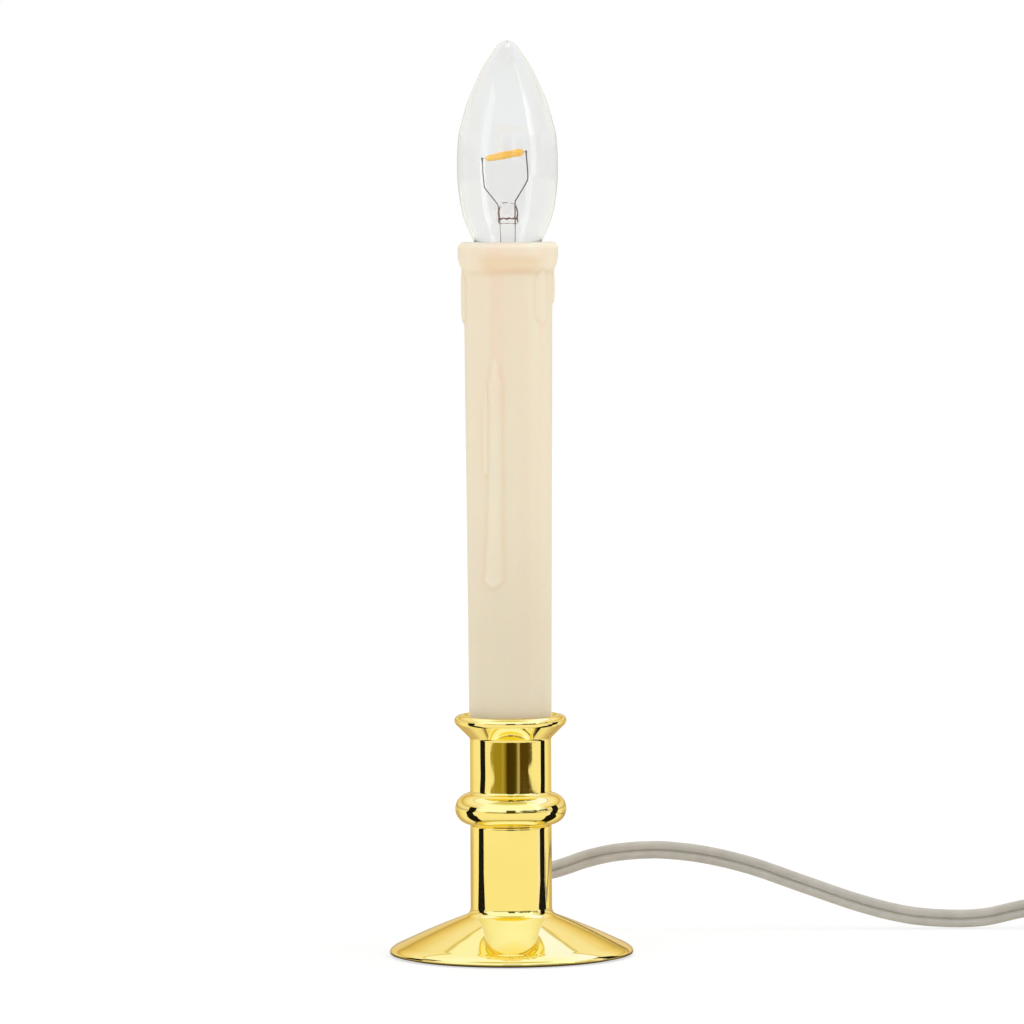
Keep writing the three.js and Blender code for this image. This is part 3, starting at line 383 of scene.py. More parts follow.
def mix_shaders(factor, first, second):
    return add_node(
        factor.id_data, "MixShader", factor, first.outputs[0], second.outputs[0])


def maths(operation, *values):
    node = add_node(tree_of(*values), "Math", *values)
    node.operation = operation
    return node.outputs[0]


def times(first, *others):
    for other in others:
        first = maths("MULTIPLY", first, other)
    return first


def band(value, low, high, soft):
    """1 between two values, with soft ends."""
    return times(eased(value, low - soft, low + soft),
                 eased(value, high - soft, high + soft, 1.0, 0.0))


def degrees_of(x, y):
    """Azimuth from the front towards +X."""
    return times(maths("ARCTAN2", x, times(y, -1.0)), TO_DEGREES)


def cover(shader, colour, roughness, relief, depth):
    """Gives a shader its colour, its roughness and a bump."""
    bump = add_node(shader.id_data, "Bump", Height=relief, Distance=depth)
    set_inputs(shader, Base_Color=colour, Roughness=roughness, Normal=bump.outputs["Normal"])


def srgb(*values):
    """A colour as shown on screen, 0 to 255, in the shader's linear values."""
    shares = (value / 255.0 for value in values)
    return tuple(s / 12.92 if s <= 0.04045 else ((s + 0.055) / 1.055) ** 2.4 for s in shares)


# Materials

def gold_plating():
    """Bright yellow plating on smooth moulding, faintly wavy and hazed."""
    tree, shader = new_material("gold_plating", Metallic=1.0, Specular_Tint=(0.86, 0.72, 0.5))
    colour = ramp(object_noise(tree, 60.0), (0.35, srgb(246, 222, 151)),
                  (0.65, srgb(249, 226, 159)))
    haze = value_range(object_noise(tree, 900.0, 5.0), 0.01, 0.06)
    cover(shader, colour, haze, object_noise(tree, 110.0, 1.0, (1.0, 1.0, 0.5)), 0.00008)


def ivory_plastic(low, high):
    """Wax-like moulded plastic: peach at the top, greyer below, streaked along its
    length. It has painted shade in the creases of the drips, under the rim's roll at the front
    and in a pinker band at the upper left of the front, and painted highlights on the drips'
    crests and on the rim's crown."""
    tree, shader = new_material(
        "ivory_plastic", Subsurface_Weight=0.25, Subsurface_Scale=0.002,
        Subsurface_Radius=(1.0, 0.55, 0.3), IOR=1.46, Coat_Weight=0.15, Coat_Roughness=0.2)
    place = add_node(tree, "TexCoord").outputs["Object"]
    x, y, z = add_node(tree, "SeparateXYZ", place).outputs
    azimuth = degrees_of(x, y)
    rise = share(z, low, high)
    yellow, pink = (
        ramp(rise, *zip((0.0, 0.25, 0.5, 1.0), (srgb(*tone) for tone in tones)))
        for tones in (((232, 220, 195), (234, 221, 195), (243, 230, 204), (249, 235, 209)),
                      ((232, 217, 195), (234, 218, 193), (245, 226, 202), (251, 226, 200))))
    streaks = object_noise(tree, 200.0, 2.0, (1.0, 1.0, 0.03))
    # Painted shade: a pinker band down the upper left of the front, mixed with pink streaks that
    # fall at random
    painted_front_shade_and_streaks = maths(
        "MAXIMUM", times(band(azimuth, -26.0, -4.0, 6.0), eased(rise, 0.6, 0.75)),
        eased(streaks, 0.4, 0.6, 0.0, 0.5))
    # Painted shade: a deeper band just under the rim's roll, across the front
    painted_shade_under_roll = times(band(z, high - 0.0075, high - 0.0035, 0.001),
                       band(azimuth, -34.0, 40.0, 10.0), 0.7)
    # Painted highlight: paler towards the top of the rim's crown
    crown = eased(z, high - 0.0025, high, 0.0, 0.6)
    # Painted shade deeper in the creases of the drips and painted highlights paler on their
    # crests, by the sleeve's relief
    relief = tree.nodes.new("ShaderNodeAttribute")
    relief.attribute_name = "relief"
    painted_crease_shade = value_range(relief.outputs["Fac"], 0.0, 0.5, 0.03, 0.3)
    painted_crest_highlight = value_range(relief.outputs["Fac"], 0.0, 0.5, 0.0, -0.3)
    colour = mixed(painted_front_shade_and_streaks, yellow, pink)
    # Lays the painted shade and highlights over the sleeve's colour
    for factor, tone in ((painted_shade_under_roll, (244, 214, 172)), (crown, (253, 244, 228)),
                         (painted_crease_shade, (234, 200, 158)), (painted_crest_highlight, (250, 238, 218))):
        colour = mixed(factor, colour, srgb(*tone))
    cover(shader, colour, value_range(object_noise(tree, 700.0), 0.26, 0.38), streaks, 0.00008)


def clear_glass(name, face, edge, index=1.5):
    """Clear blown glass, faintly grey, with painted shade at its edges: a little greyer where it
    is seen edge-on.
    """
    tree, shader = new_material(name, Transmission_Weight=1.0, IOR=index, Roughness=0.0)
    # Painted shade: the colour turns greyer towards the edges that are seen edge-on
    rim = add_node(tree, "LayerWeight", Blend=0.3).outputs["Facing"]
    clear = ramp(rim, (0.0, face), (0.6, face), (1.0, edge))
    waves = object_noise(tree, 45.0, 1.0, (1.0, 1.0, 0.5))
    tint = mottled(waves, (0.985,) * 3, (1.0,) * 3)
    set_inputs(shader, Base_Color=mixed(1.0, clear, tint, "MULTIPLY"))


def felt():
    tree, shader = new_material("felt", Sheen_Weight=0.6, Sheen_Roughness=0.6)
    fibre = object_noise(tree, 2500.0, 6.0, (1.0, 0.35, 1.0))
    cover(shader, mottled(fibre, srgb(24, 22, 20), srgb(58, 53, 48)), 0.95, fibre, 0.0003)


def soft_vinyl(name, low, high):
    """Warm grey-white vinyl, faintly mottled."""
    tree, shader = new_material(name, Subsurface_Weight=0.1, Subsurface_Scale=0.001, IOR=1.5)
    colour = mottled(object_noise(tree, 220.0, 4.0), srgb(*low), srgb(*high))
    fine = object_noise(tree, 2200.0)
    cover(shader, colour, value_range(fine, 0.32, 0.45), fine, 0.00004)


def plain_material(name, colour, spread, roughness, scale, depth, metallic=0.0, **inputs):
    """Colour that wanders a little, with a matching fine grain and roughness."""
    tree, shader = new_material(name, Metallic=metallic, **inputs)
    fine = object_noise(tree, scale, 4.0)
    dark, light = (tuple(min(1.0, c * (1 + change)) for c in srgb(*colour))
                   for change in (-spread, spread))
    cover(shader, mottled(object_noise(tree, scale / 6.0), dark, light),
          value_range(fine, roughness * 0.85, roughness * 1.15), fine, depth)


gold_plating()
ivory_plastic(*(corner.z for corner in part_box("candle_sleeve")))
clear_glass("clear_glass", (0.915, 0.92, 0.915), (0.66, 0.67, 0.67))
clear_glass("stem_glass", (0.99, 0.965, 0.96), (0.96, 0.91, 0.9), 1.12)
felt()
soft_vinyl("cord_plastic", (182, 176, 167), (196, 190, 181))
soft_vinyl("moulded_fittings", (214, 208, 199), (224, 218, 210))
# The coat's emission is painted light: it glows though the bulb is not lit
plain_material(
    "phosphor", (255, 196, 70), 0.12, 0.5, 2500.0, 0.00006,
    Subsurface_Weight=0.3, Subsurface_Scale=0.001,
    Emission_Color=(1.0, 0.55, 0.1), Emission_Strength=0.4)
# Colour, how far it wanders, roughness, grains to the metre, their depth, metal
for row in (
    ("steel", (180, 180, 178), 0.10, 0.3, 1600.0, 0.00003, 1.0),
    ("brass", (214, 180, 104), 0.08, 0.26, 1200.0, 0.00003, 1.0),
    ("nickel", (206, 203, 194), 0.05, 0.18, 900.0, 0.00002, 1.0),
    ("cast_iron", (84, 84, 87), 0.25, 0.7, 900.0, 0.0003, 0.6),
    ("dark_plastic", (52, 42, 36), 0.15, 0.42, 1500.0, 0.00004),
    ("black_glass", (22, 20, 22), 0.2, 0.1, 500.0, 0.00003),
    ("lead_wire", (122, 114, 112), 0.12, 0.35, 2000.0, 0.00001, 0.8),
    ("sealing_wire", (150, 78, 66), 0.15, 0.35, 2000.0, 0.00001, 0.6),
    ("green_board", (42, 96, 58), 0.12, 0.5, 1200.0, 0.00003),
    ("brown_plastic", (140, 82, 38), 0.12, 0.3, 700.0, 0.00005),
    ("black_insulation", (38, 37, 36), 0.12, 0.5, 1600.0, 0.00004),
    ("tie_plastic", (56, 55, 53), 0.12, 0.5, 1500.0, 0.00004),
):
    plain_material(*row)

# CAD pieces inside the candle whose shapes stay as they are
CARRIED = {
    "steel": ["bottom_plate", "stem_rod", "lower_washer", "lower_nut", "upper_washer",
              "upper_nut", "switch_axle"],
    "cast_iron": ["ballast_ring"],
    "brass": ["socket_hub", "hot_terminal", "neutral_terminal", "contact_tongue"],
    "dark_plastic": ["socket_body"],
    "green_board": ["driver_board"],
    "brown_plastic": ["driver_capacitor"],
}
for material, nodes in CARRIED.items():
    for node in nodes:
        set_material(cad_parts[node], material)


# Cord

CORD_WIDE = 4.6
CORD_THICK = 2.3
GROOVE_SHARE = 0.3  # of the cord's half thickness that is left in its groove
COIL_CENTRE = (172.0, 6.0)
COIL_RADIUS = 31.0
COIL_PITCH = 3.0
COIL_TURNS = 7.75
COIL_LOW_LEVEL = 3.4
COIL_LAYER_RISE = 5.1
COIL_STEPS = 48  # points in a turn

# The lead from the strain relief to the switch
LEAD_ROUTE = [
    (0, 30.5, 14.6), (0, 36, 14.65), (1.6, 42.5, 14.8), (5.6, 48.2, 15.1),
    (10.7, 51.4, 15.6), (14.8, 52.6, 16.7), (19, 53, 18.1), (24.3, 53, 19.4),
    (29.2, 53, 20.1), (34.3, 53, 20.45), (40, 53, 20.4), (50, 52.8, 19.2),
    (62, 52.3, 16.3), (76, 51.6, 11.4), (90, 51, 6.6), (102, 50.6, 3.6),
    (113, 50.3, 2.6), (122, 50.1, 2.9), (130, 50, 4.6), (134, 50, 5.35), (137.7, 50, 5.5),
]
# From the switch round to the coil, and from the coil over that to the plug
TO_COIL_ROUTE = [
    (180.3, 50, 5.5), (184.6, 50, 5.2), (190, 48.7, 4.2), (196, 44.8, 3.5),
    (200.8, 38.3, 3.4), (202.8, 30, 3.4), (203, 22, 3.4), (203, 10.9, 3.4),
]
TO_PLUG_ROUTE = [
    (176.9, 37, 8.5), (186, 37, 8.55), (194, 37, 8.75), (200, 37, 8.7),
    (205, 37, 8.1), (208.5, 37, 7.3), (211.7, 37, 7.0),
]


def coil_route():
    """In on the lower layer, up in the half turn where it reverses, and out."""
    points = []
    steps = round(COIL_TURNS * COIL_STEPS)
    for i in range(steps + 1):
        turn = i / COIL_STEPS
        from_middle = turn - COIL_TURNS / 2
        radius = COIL_RADIUS - COIL_PITCH * (COIL_TURNS / 2 - abs(from_middle))
        angle = -2 * math.pi * turn
        points.append((
            COIL_CENTRE[0] + radius * math.cos(angle),
            COIL_CENTRE[1] + radius * math.sin(angle),
            COIL_LOW_LEVEL + COIL_LAYER_RISE * smoothstep(-0.25, 0.25, from_middle),
        ))
    return points


def twin_section():
    """Two round cores side by side in one skin, with a groove between them."""
    radius = CORD_THICK / 2
    offset = CORD_WIDE / 2 - radius
    half = arc((0.0, offset), radius, -66, 246, 12)
    groove = radius * GROOVE_SHARE
    return [(groove, 0.0), *half, (-groove, 0.0), *[(-x, -y) for x, y in half]]


def cord_piece(name, path):
    """The twin cord along a path, its section kept upright."""
    section = twin_section()
    rings = []
    for i, point in enumerate(path):
        along = heading(path, i)
        side = Vector((-along.y, along.x, 0.0)).normalized()
        up = along.cross(side)
        rings.append([point + side * a + up * b for a, b in section])
    return ringed(name, rings, sharp_degrees=70.0)


lead_path = [Vector(p) for p in smooth_line(LEAD_ROUTE, 6)]
spare_path = [Vector(p) for p in (
    smooth_line(TO_COIL_ROUTE, 6) + coil_route() + smooth_line(TO_PLUG_ROUTE, 6))]
cord_lead = dress(cord_piece("cord_to_switch", lead_path), "cord_plastic", "cord_lead")
cord_spare = dress(cord_piece("cord_with_coil", spare_path), "cord_plastic",
                   "cord_to_coil", "cord_coil", "cord_to_plug")


# Plated base

FOOT_RADIUS = 30.5
SHOULDER = (27.5, 3.1)
COLUMN_RADIUS = 10.2
CONE_SLOPE = 7.3 / 17.3
FILLET = 1.6
FILLET_ON_CONE = FILLET * 0.93  # how far out the fillet meets the cone
DOME = 0.003  # rise of the cone's middle, for each square millimetre
WALL = 1.0
ROD_HOLE = 5.15
CORD_HOLE_RADIUS = 2.6
RIM_ROUND = 0.5
EDGE_ROUND = 0.25
FLARE_EASE = 0.35
BEAD_RADIUS = 3.9
BEAD_HEIGHT = 4.2  # its middle above the column
BEAD_FILLET = 0.7
FLARE_RISE = 13.15  # where the flare starts above the collar
LIP_RADIUS = 14.05
LIP_ROUND = 1.4
FLARE_WALL = 0.8
CORNER_SHARE = 0.012
GOLD_SIDES = 180
CORD_HEIGHT = 14.6

column_top = top_of("base_shell")
rim_lift = bottom_of("base_shell")
collar_top = top_of("collar")
cup_top = top_of("candle_cup")


def held(start, end, steps):
    """Points of a straight run of an outline, close together at its ends, so that
    the smooth shading of a corner doesn't spread along it."""
    inside = [i / steps for i in range(1, steps)]
    shares = [0.0, CORNER_SHARE, *inside, 1.0 - CORNER_SHARE, 1.0]
    return [tuple(a + (b - a) * s for a, b in zip(start, end)) for s in shares]


def cone_height(radius, inset=0.0):
    lean = math.cos(math.atan(CONE_SLOPE))
    return SHOULDER[1] + CONE_SLOPE * (SHOULDER[0] - radius) - inset / lean


def foot_height(radius):
    """The cone's outside, very slightly domed."""
    return cone_height(radius) + DOME * (SHOULDER[0] - radius) * (radius - COLUMN_RADIUS)


def base_piece():
    inner = FOOT_RADIUS - WALL
    bore = COLUMN_RADIUS - WALL
    foot_top = cone_height(COLUMN_RADIUS)
    fillet_radius = COLUMN_RADIUS + FILLET_ON_CONE
    fillet_start = (fillet_radius, foot_height(fillet_radius))
    outline = [(inner, rim_lift)]
    rim = (FOOT_RADIUS, rim_lift + RIM_ROUND)
    outline += bend((FOOT_RADIUS - RIM_ROUND, rim_lift), (FOOT_RADIUS, rim_lift), rim)
    outline += bend(rim, (FOOT_RADIUS, cone_height(FOOT_RADIUS)), SHOULDER, 14)[1:]
    outline += [(r, foot_height(r)) for r, _ in held(SHOULDER, fillet_start, 24)[1:-1]]
    low, high = (COLUMN_RADIUS, foot_top + FILLET), (COLUMN_RADIUS, column_top - EDGE_ROUND)
    outline += bend(fillet_start, (COLUMN_RADIUS, foot_top), low, 12)
    outline += held(low, high, 12)[1:-1]
    outline += bend(high, (COLUMN_RADIUS, column_top),
                    (COLUMN_RADIUS - EDGE_ROUND, column_top), 4)
    outline += [
        (ROD_HOLE, column_top), (ROD_HOLE, column_top - WALL), (bore, column_top - WALL),
        (bore, cone_height(bore, WALL)), (inner, cone_height(inner, WALL)),
    ]
    shell = turned("foot_and_column", outline, GOLD_SIDES)
    hole = drill(CORD_HOLE_RADIUS, 0, 20, 48)
    hole.data.transform(
        Matrix.Translation((0, 0, CORD_HEIGHT * MM)) @ Matrix.Rotation(-math.pi / 2, 4, "X"))
    return cut_out(shell, hole, sharp_degrees=32.0)


def collar_piece():
    bead = (COLUMN_RADIUS - 0.15, column_top + BEAD_HEIGHT)
    fillet = (COLUMN_RADIUS + BEAD_FILLET, collar_top)
    lean = math.degrees(math.atan2(fillet[1] - bead[1], fillet[0] - bead[0]))
    outline = [(ROD_HOLE, column_top), (bead[0] - 0.3, column_top)]
    outline += arc(bead, BEAD_RADIUS, -90, lean, 40)
    outline += arc(fillet, BEAD_FILLET, 180 + lean, 180, 10)[1:]
    outline += [(ROD_HOLE, collar_top)]
    return turned("collar_bead", outline, GOLD_SIDES)


def cup_piece():
    bore = COLUMN_RADIUS - 0.6
    flare_start = collar_top + FLARE_RISE
    lip = (LIP_RADIUS - LIP_ROUND, cup_top - LIP_ROUND)
    lip_end = 315 - math.degrees(math.acos((LIP_ROUND - FLARE_WALL) / LIP_ROUND))
    flare_end = arc(lip, LIP_ROUND, -45, lip_end, 32)
    inner_start = (bore, flare_start - 0.6 + FLARE_WALL * math.sqrt(2))
    neck_end = (COLUMN_RADIUS, flare_start - FLARE_EASE)
    flare = (COLUMN_RADIUS + EDGE_ROUND, flare_start + EDGE_ROUND)
    outline = [(ROD_HOLE, collar_top)]
    outline += held((COLUMN_RADIUS, collar_top), neck_end, 8)
    outline += bend(neck_end, (COLUMN_RADIUS, flare_start), flare, 6)[1:]
    outline += held(flare, flare_end[0], 4)[1:-1]
    outline += flare_end
    outline += [inner_start, (bore, collar_top + WALL), (ROD_HOLE, collar_top + WALL)]
    return turned("cup", outline, GOLD_SIDES)


dress(base_piece(), "gold_plating", "base_shell")
dress(collar_piece(), "gold_plating", "collar")
dress(cup_piece(), "gold_plating", "candle_cup")


def pad_piece():
    radius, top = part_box("base_pad")[1].x / MM, top_of("base_pad")
    outline = [(0, 0), (radius * 0.5, 0), (radius - 0.35, 0)]
    outline += bend((radius - 0.35, 0), (radius, 0), (radius, 0.35), 4)[1:]
    outline += bend((radius, top - 0.2), (radius, top), (radius - 0.2, top), 3)
    outline += [(0, top)]
    return turned("felt_pad", outline, 128)


dress(pad_piece(), "felt", "base_pad")


# Candle sleeve

sleeve_top = top_of("candle_sleeve")
spigot_bottom = bottom_of("candle_sleeve")
SHOULDER_HEIGHT = sleeve_top - 122.4
SLEEVE_FOOT_RADIUS = 10.3
SLEEVE_NECK_RADIUS = 11.05
SPIGOT_RADIUS = 9.35
RIM_RADIUS = 12.5
RIM_HEIGHT = 6.9
RIM_SAG = 0.25  # how much lower the rim is at the back
SLEEVE_WALL = 1.3
SPIGOT_WALL = 0.9
SLEEVE_SIDES = 288
FOOT_EDGE = 0.2
RIM_CROWN = 1.6
MOUTH_RADIUS = 9.3
MOUTH_ROUND = 0.8
rim_bottom = sleeve_top - RIM_HEIGHT
SKIRT = 0.28  # thickness of the wax below the rim's roll
ROLL_BOTTOM = 171.2  # where the roll ends and only the skirt goes on
ROLL_RISE = 3.2
RELIEF_BOTTOM = 88.0  # just below the lowest drip
RELIEF_REACH = 1.5
DRIP_START = 7.0  # length over which a drip grows to its full height
DRIP_PROFILE = 2.2  # power of its round section

# Drips: azimuth in degrees from the front towards +X, half width, thickness, the
# heights where each starts and ends, how it swells towards its end, and how far
# its end drifts sideways
DRIPS = [
    (-18.5, 1.75, 0.55, 150.2, 92.6, 0.7, -0.9),
    (-31, 0.9, 0.35, 144, 121, 0.0, 0.0),
    (49, 2.2, 0.5, 175, 158.3, 0.2, 0.2),
    (-90, 3.2, 0.75, 175, 158, 0.1, 0.0),
    (95, 2.6, 0.65, 175, 163, 0.1, 0.0),
    (150, 1.9, 0.65, 175, 132, 0.5, 0.4),
    (-145, 2.2, 0.65, 175, 147, 0.4, -0.3),
]
# Waves of the rim's lower edge: azimuth, half width in degrees, and drop
RIM_WAVES = [
    (-30, 22, 0.8), (-90, 20, 2.0), (95, 16, 1.4), (150, 14, 2.6),
    (-145, 16, 2.8), (40, 16, 0.5), (-60, 14, 0.8), (120, 12, -0.4), (-118, 12, 0.6),
]


def turn_between(angle, azimuth):
    """Degrees from a front-based azimuth to an angle about +Z in radians."""
    return (math.degrees(angle) + 90 - azimuth + 180) % 360 - 180


def sleeve_taper(z):
    share = (z - SHOULDER_HEIGHT) / (rim_bottom - SHOULDER_HEIGHT)
    return SLEEVE_FOOT_RADIUS + (SLEEVE_NECK_RADIUS - SLEEVE_FOOT_RADIUS) * min(1.0, share)


def drip_height(angle, z):
    """How far the drips stand out of the sleeve."""
    height = 0.0
    for azimuth, half_width, thickness, top, bottom, swell, drift in DRIPS:
        if not bottom < z < top:
            continue
        down = (top - z) / (top - bottom)
        width = half_width * (1 + swell * down ** 5)
        start = min(1.0, (top - z) / DRIP_START)
        end = min(1.0, (z - bottom) / width)
        round_end = math.sqrt(1 - (1 - end) ** 2)
        fullness = start ** 0.8 * round_end
        across = math.radians(turn_between(angle, azimuth)) * sleeve_taper(z)
        across = (across - drift * down ** 4) / (width * max(0.05, fullness))
        if abs(across) < 1:
            side = 1 - abs(across) ** DRIP_PROFILE
            height = max(height, thickness * (1 + 0.5 * swell * down ** 5)
                         * round_end ** 0.7 * start ** 0.5 * side)
    return height


def rim_edge(angle):
    """Height of the lower edge of the melted rim at an angle."""
    drop = sum(
        depth * math.exp(-(turn_between(angle, azimuth) / width) ** 2)
        for azimuth, width, depth in RIM_WAVES)
    return rim_bottom - 0.6 - drop


def sleeve_radius(angle, z):
    """The tapered sleeve, the thin skirt of wax, the rim's roll and the drips."""
    body = sleeve_taper(z)
    edge = rim_edge(angle)
    skirt = SKIRT * smoothstep(edge, edge + 1.5, z)
    under = clamped((z - ROLL_BOTTOM) / ROLL_RISE)
    roll = skirt + (RIM_RADIUS - body - skirt) * math.sqrt(1 - (1 - under) ** 2) * under ** 0.4
    return body + max(roll, drip_height(angle, z))


# The ivory material reads this depth to paint shade in the creases of the drips and highlights on
# their crests
def mark_relief(obj):
    """Stores how deep each point of the sleeve lies below what is around it."""
    layer = obj.data.attributes.new("relief", "FLOAT", "POINT")
    for vertex, item in zip(obj.data.vertices, layer.data):
        x, y, z = vertex.co / MM
        if (not RELIEF_BOTTOM <= z <= sleeve_top - RIM_CROWN
                or math.hypot(x, y) < SPIGOT_RADIUS + 0.5):
            continue
        angle = math.atan2(y, x)
        turn = RELIEF_REACH / sleeve_taper(z)
        around = [sleeve_radius(angle + side * turn, z) for side in (-1, 1)]
        around += [sleeve_radius(angle, min(z + way * RELIEF_REACH, sleeve_top))
                   for way in (-1, 1)]
        item.value = sum(around) / 4 - sleeve_radius(angle, z)


def sleeve_piece():
    low, crown = SHOULDER_HEIGHT + FOOT_EDGE, sleeve_top - RIM_CROWN
    spigot_bore = SPIGOT_RADIUS - SPIGOT_WALL
    outline = [
        (SPIGOT_RADIUS, spigot_bottom), (SPIGOT_RADIUS, SHOULDER_HEIGHT),
        (SLEEVE_FOOT_RADIUS - FOOT_EDGE, SHOULDER_HEIGHT), (SLEEVE_FOOT_RADIUS, low)]
    z = low + 1.5
    while z < crown - 0.2:
        outline.append((lambda a, z=z: sleeve_radius(a, z), z))
        fine = z > 156 or 90 < z < 99 or 118 < z < 152  # where drips end
        z += 0.35 if fine else 1.0
    outline.append((lambda a: sleeve_radius(a, crown), crown))
    outline += arc((RIM_RADIUS - RIM_CROWN, crown), RIM_CROWN, 10, 90, 8)
    outline += arc((MOUTH_RADIUS + MOUTH_ROUND, sleeve_top - MOUTH_ROUND), MOUTH_ROUND,
                   90, 180, 6)
    outline += [
        (MOUTH_RADIUS, rim_bottom + MOUTH_ROUND), (SLEEVE_NECK_RADIUS - SLEEVE_WALL, rim_bottom),
        (SLEEVE_FOOT_RADIUS - SLEEVE_WALL, SHOULDER_HEIGHT + 0.3),
        (spigot_bore, SHOULDER_HEIGHT), (spigot_bore, spigot_bottom)]
    rings = [circle(radius, z, SLEEVE_SIDES) for radius, z in outline]
    for ring in rings:
        for point in ring:
            if point.z > crown:
                point.z -= RIM_SAG * max(0.0, point.y / RIM_RADIUS)
    sleeve = ringed("drip_sleeve", rings, looped=True, sharp_degrees=40.0)
    mark_relief(sleeve)
    return sleeve


dress(sleeve_piece(), "ivory_plastic", "candle_sleeve")


# Screw shells of the bulb and the socket

THREAD_PITCH = 2.54
THREAD_DEPTH = 0.3
THREAD_RADIUS = 5.55
SHELL_METAL = 0.3
SHELL_GAP = 0.3  # between the bulb's thread and the socket's
SOCKET_SHELL_LENGTH = 17.5
THREAD_RINGS = 16  # in a turn
TURN_OF_THREAD = 2 * math.pi / THREAD_PITCH


def thread_rings(mean, bottom, top, side, offset=0.0):
    """Rings of a right-hand thread that fades over its end turns: to its crest on
    a socket (side 1), to its root on a bulb (side -1)."""
    rings = []
    count = round((top - bottom) / THREAD_PITCH * THREAD_RINGS)
    for i in range(count + 1):
        z = bottom + (top - bottom) * i / count
        fade = clamped(min(z - bottom, top - z) / THREAD_PITCH)

        def radius(a, z=z, fade=fade):
            wave = math.cos(TURN_OF_THREAD * z - a)
            return mean + offset + THREAD_DEPTH * (fade * wave + (1 - fade) * side)

        rings.append(circle(radius, z, 72))
    return rings


def shell_piece(name, node, mean, side, offset):
    top = top_of(node)
    bottom = top - SOCKET_SHELL_LENGTH if side > 0 else bottom_of(node)
    rings = thread_rings(mean, bottom, top, side)
    rings += reversed(thread_rings(mean, bottom, top, side, offset))
    return ringed(name, rings, looped=True, sharp_degrees=50.0)


dress(shell_piece("bulb_thread", "bulb_screw_shell", THREAD_RADIUS, -1, -SHELL_METAL),
      "nickel", "bulb_screw_shell", body="bulb")
dress(shell_piece("socket_thread", "socket_screw_shell", THREAD_RADIUS + SHELL_GAP, 1,
                  SHELL_METAL), "brass", "socket_screw_shell")


def contact_piece(name, node, sides, material, outline_of):
    """A round piece of the bulb's foot, from its CAD node's bottom, top and radius."""
    outline = outline_of(bottom_of(node), top_of(node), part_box(node)[1].x / MM)
    dress(turned(name, outline, sides), material, node, body="bulb_carrier")


def insulator_outline(bottom, top, radius):
    slope = bend((radius, top - 0.5), (radius - 1.3, bottom + 0.9), (2.9, bottom + 0.1), 8)
    return [(0, top), (radius - 0.3, top), (radius, top - 0.15), (radius, top - 0.4),
            *slope, (2.5, bottom), (0, bottom)]


def tip_outline(bottom, top, radius):
    dome = bend((radius, top - 0.5), (radius, bottom), (0.6, bottom), 8)
    return [(0, top), (radius, top), *dome, (0, bottom)]


contact_piece("insulator", "bulb_insulator", 96, "black_glass", insulator_outline)
contact_piece("tip_contact", "bulb_tip_contact", 64, "steel", tip_outline)


# Bulb

GLASS_RADIUS = 12.55
GLASS_LENGTH = 60.4
GLASS_WALL = 0.6
NECK_RADIUS = 4.65
NECK_DEPTH = 7.5
ENVELOPE = [
    (0.5, 0.05), (0.68, 0.172), (0.88, 0.275), (0.98, 0.39), (1.0, 0.49),
    (0.975, 0.6), (0.9, 0.67), (0.795, 0.745), (0.645, 0.82), (0.47, 0.895),
    (0.31, 0.945), (0.2, 0.978), (0.1, 0.994), (0.0, 1.0),
]  # shares of the radius and of the length
shell_top = top_of("bulb_screw_shell")


def envelope_piece():
    points = [(NECK_RADIUS, shell_top - NECK_DEPTH), (NECK_RADIUS, shell_top - 3),
              (NECK_RADIUS, shell_top + 0.4)]
    points += [(r * GLASS_RADIUS, shell_top + z * GLASS_LENGTH) for r, z in ENVELOPE]
    outer = smooth_line(points, 12)
    inner = []
    for i, (r, z) in enumerate(outer):
        before, after = outer[max(0, i - 1)], outer[min(len(outer) - 1, i + 1)]
        along = Vector((after[0] - before[0], after[1] - before[1])).normalized()
        inner.append((r - along.y * GLASS_WALL, z + along.x * GLASS_WALL))
    inner = [(max(0.0, r), z) for r, z in inner if r > 0.3]
    inner.append((0.0, shell_top + GLASS_LENGTH - GLASS_WALL))
    outline = [*reversed(inner), *[(max(0.0, r), z) for r, z in outer]]
    return turned("envelope", outline, 192, 60.0)


STEM_RADIUS = 1.95
STEM_WALL = 0.45
HOLLOW_TOP = 3.5
PINCH_TOP = 20.0


def stem_piece():
    """Hollow flare and rod, ending in the flat pinch that seals the wires in. Each
    section is a height above the screw shell, half width, half depth and wave."""
    flare = NECK_RADIUS - GLASS_WALL - 0.3
    sections = smooth_line([
        (-7.0, flare, flare, 0.0), (-4.5, flare, flare, 0.0), (-1.5, 3.0, 3.0, 0.0),
        (4.0, STEM_RADIUS, STEM_RADIUS, 0.0), (13.6, STEM_RADIUS, 1.7, 0.0),
        (15.2, 2.3, 1.35, 0.15), (16.0, 2.95, 1.3, 0.3), (16.5, 2.85, 1.15, 0.3),
        (17.2, 2.6, 1.05, 0.2), (18.8, 2.5, 1.0, 0.1), (PINCH_TOP - 0.3, 2.3, 0.9, 0.2),
        (PINCH_TOP, 1.6, 0.5, 0.3)], 6)

    def ring(rise, half_width, half_depth, wave):
        return [
            (half_width * c, half_depth * s,
             shell_top + rise + wave * math.sin(3.1 * (half_width * c) + 0.8))
            for c, s in unit_circle(64)]

    hollow = [s for s in sections if s[0] < HOLLOW_TOP]
    rings = [ring(rise, a - STEM_WALL, b - STEM_WALL, 0.0) for rise, a, b, _ in reversed(hollow)]
    rings += [ring(*section) for section in sections]
    return ringed("glass_stem", rings, sharp_degrees=60.0)


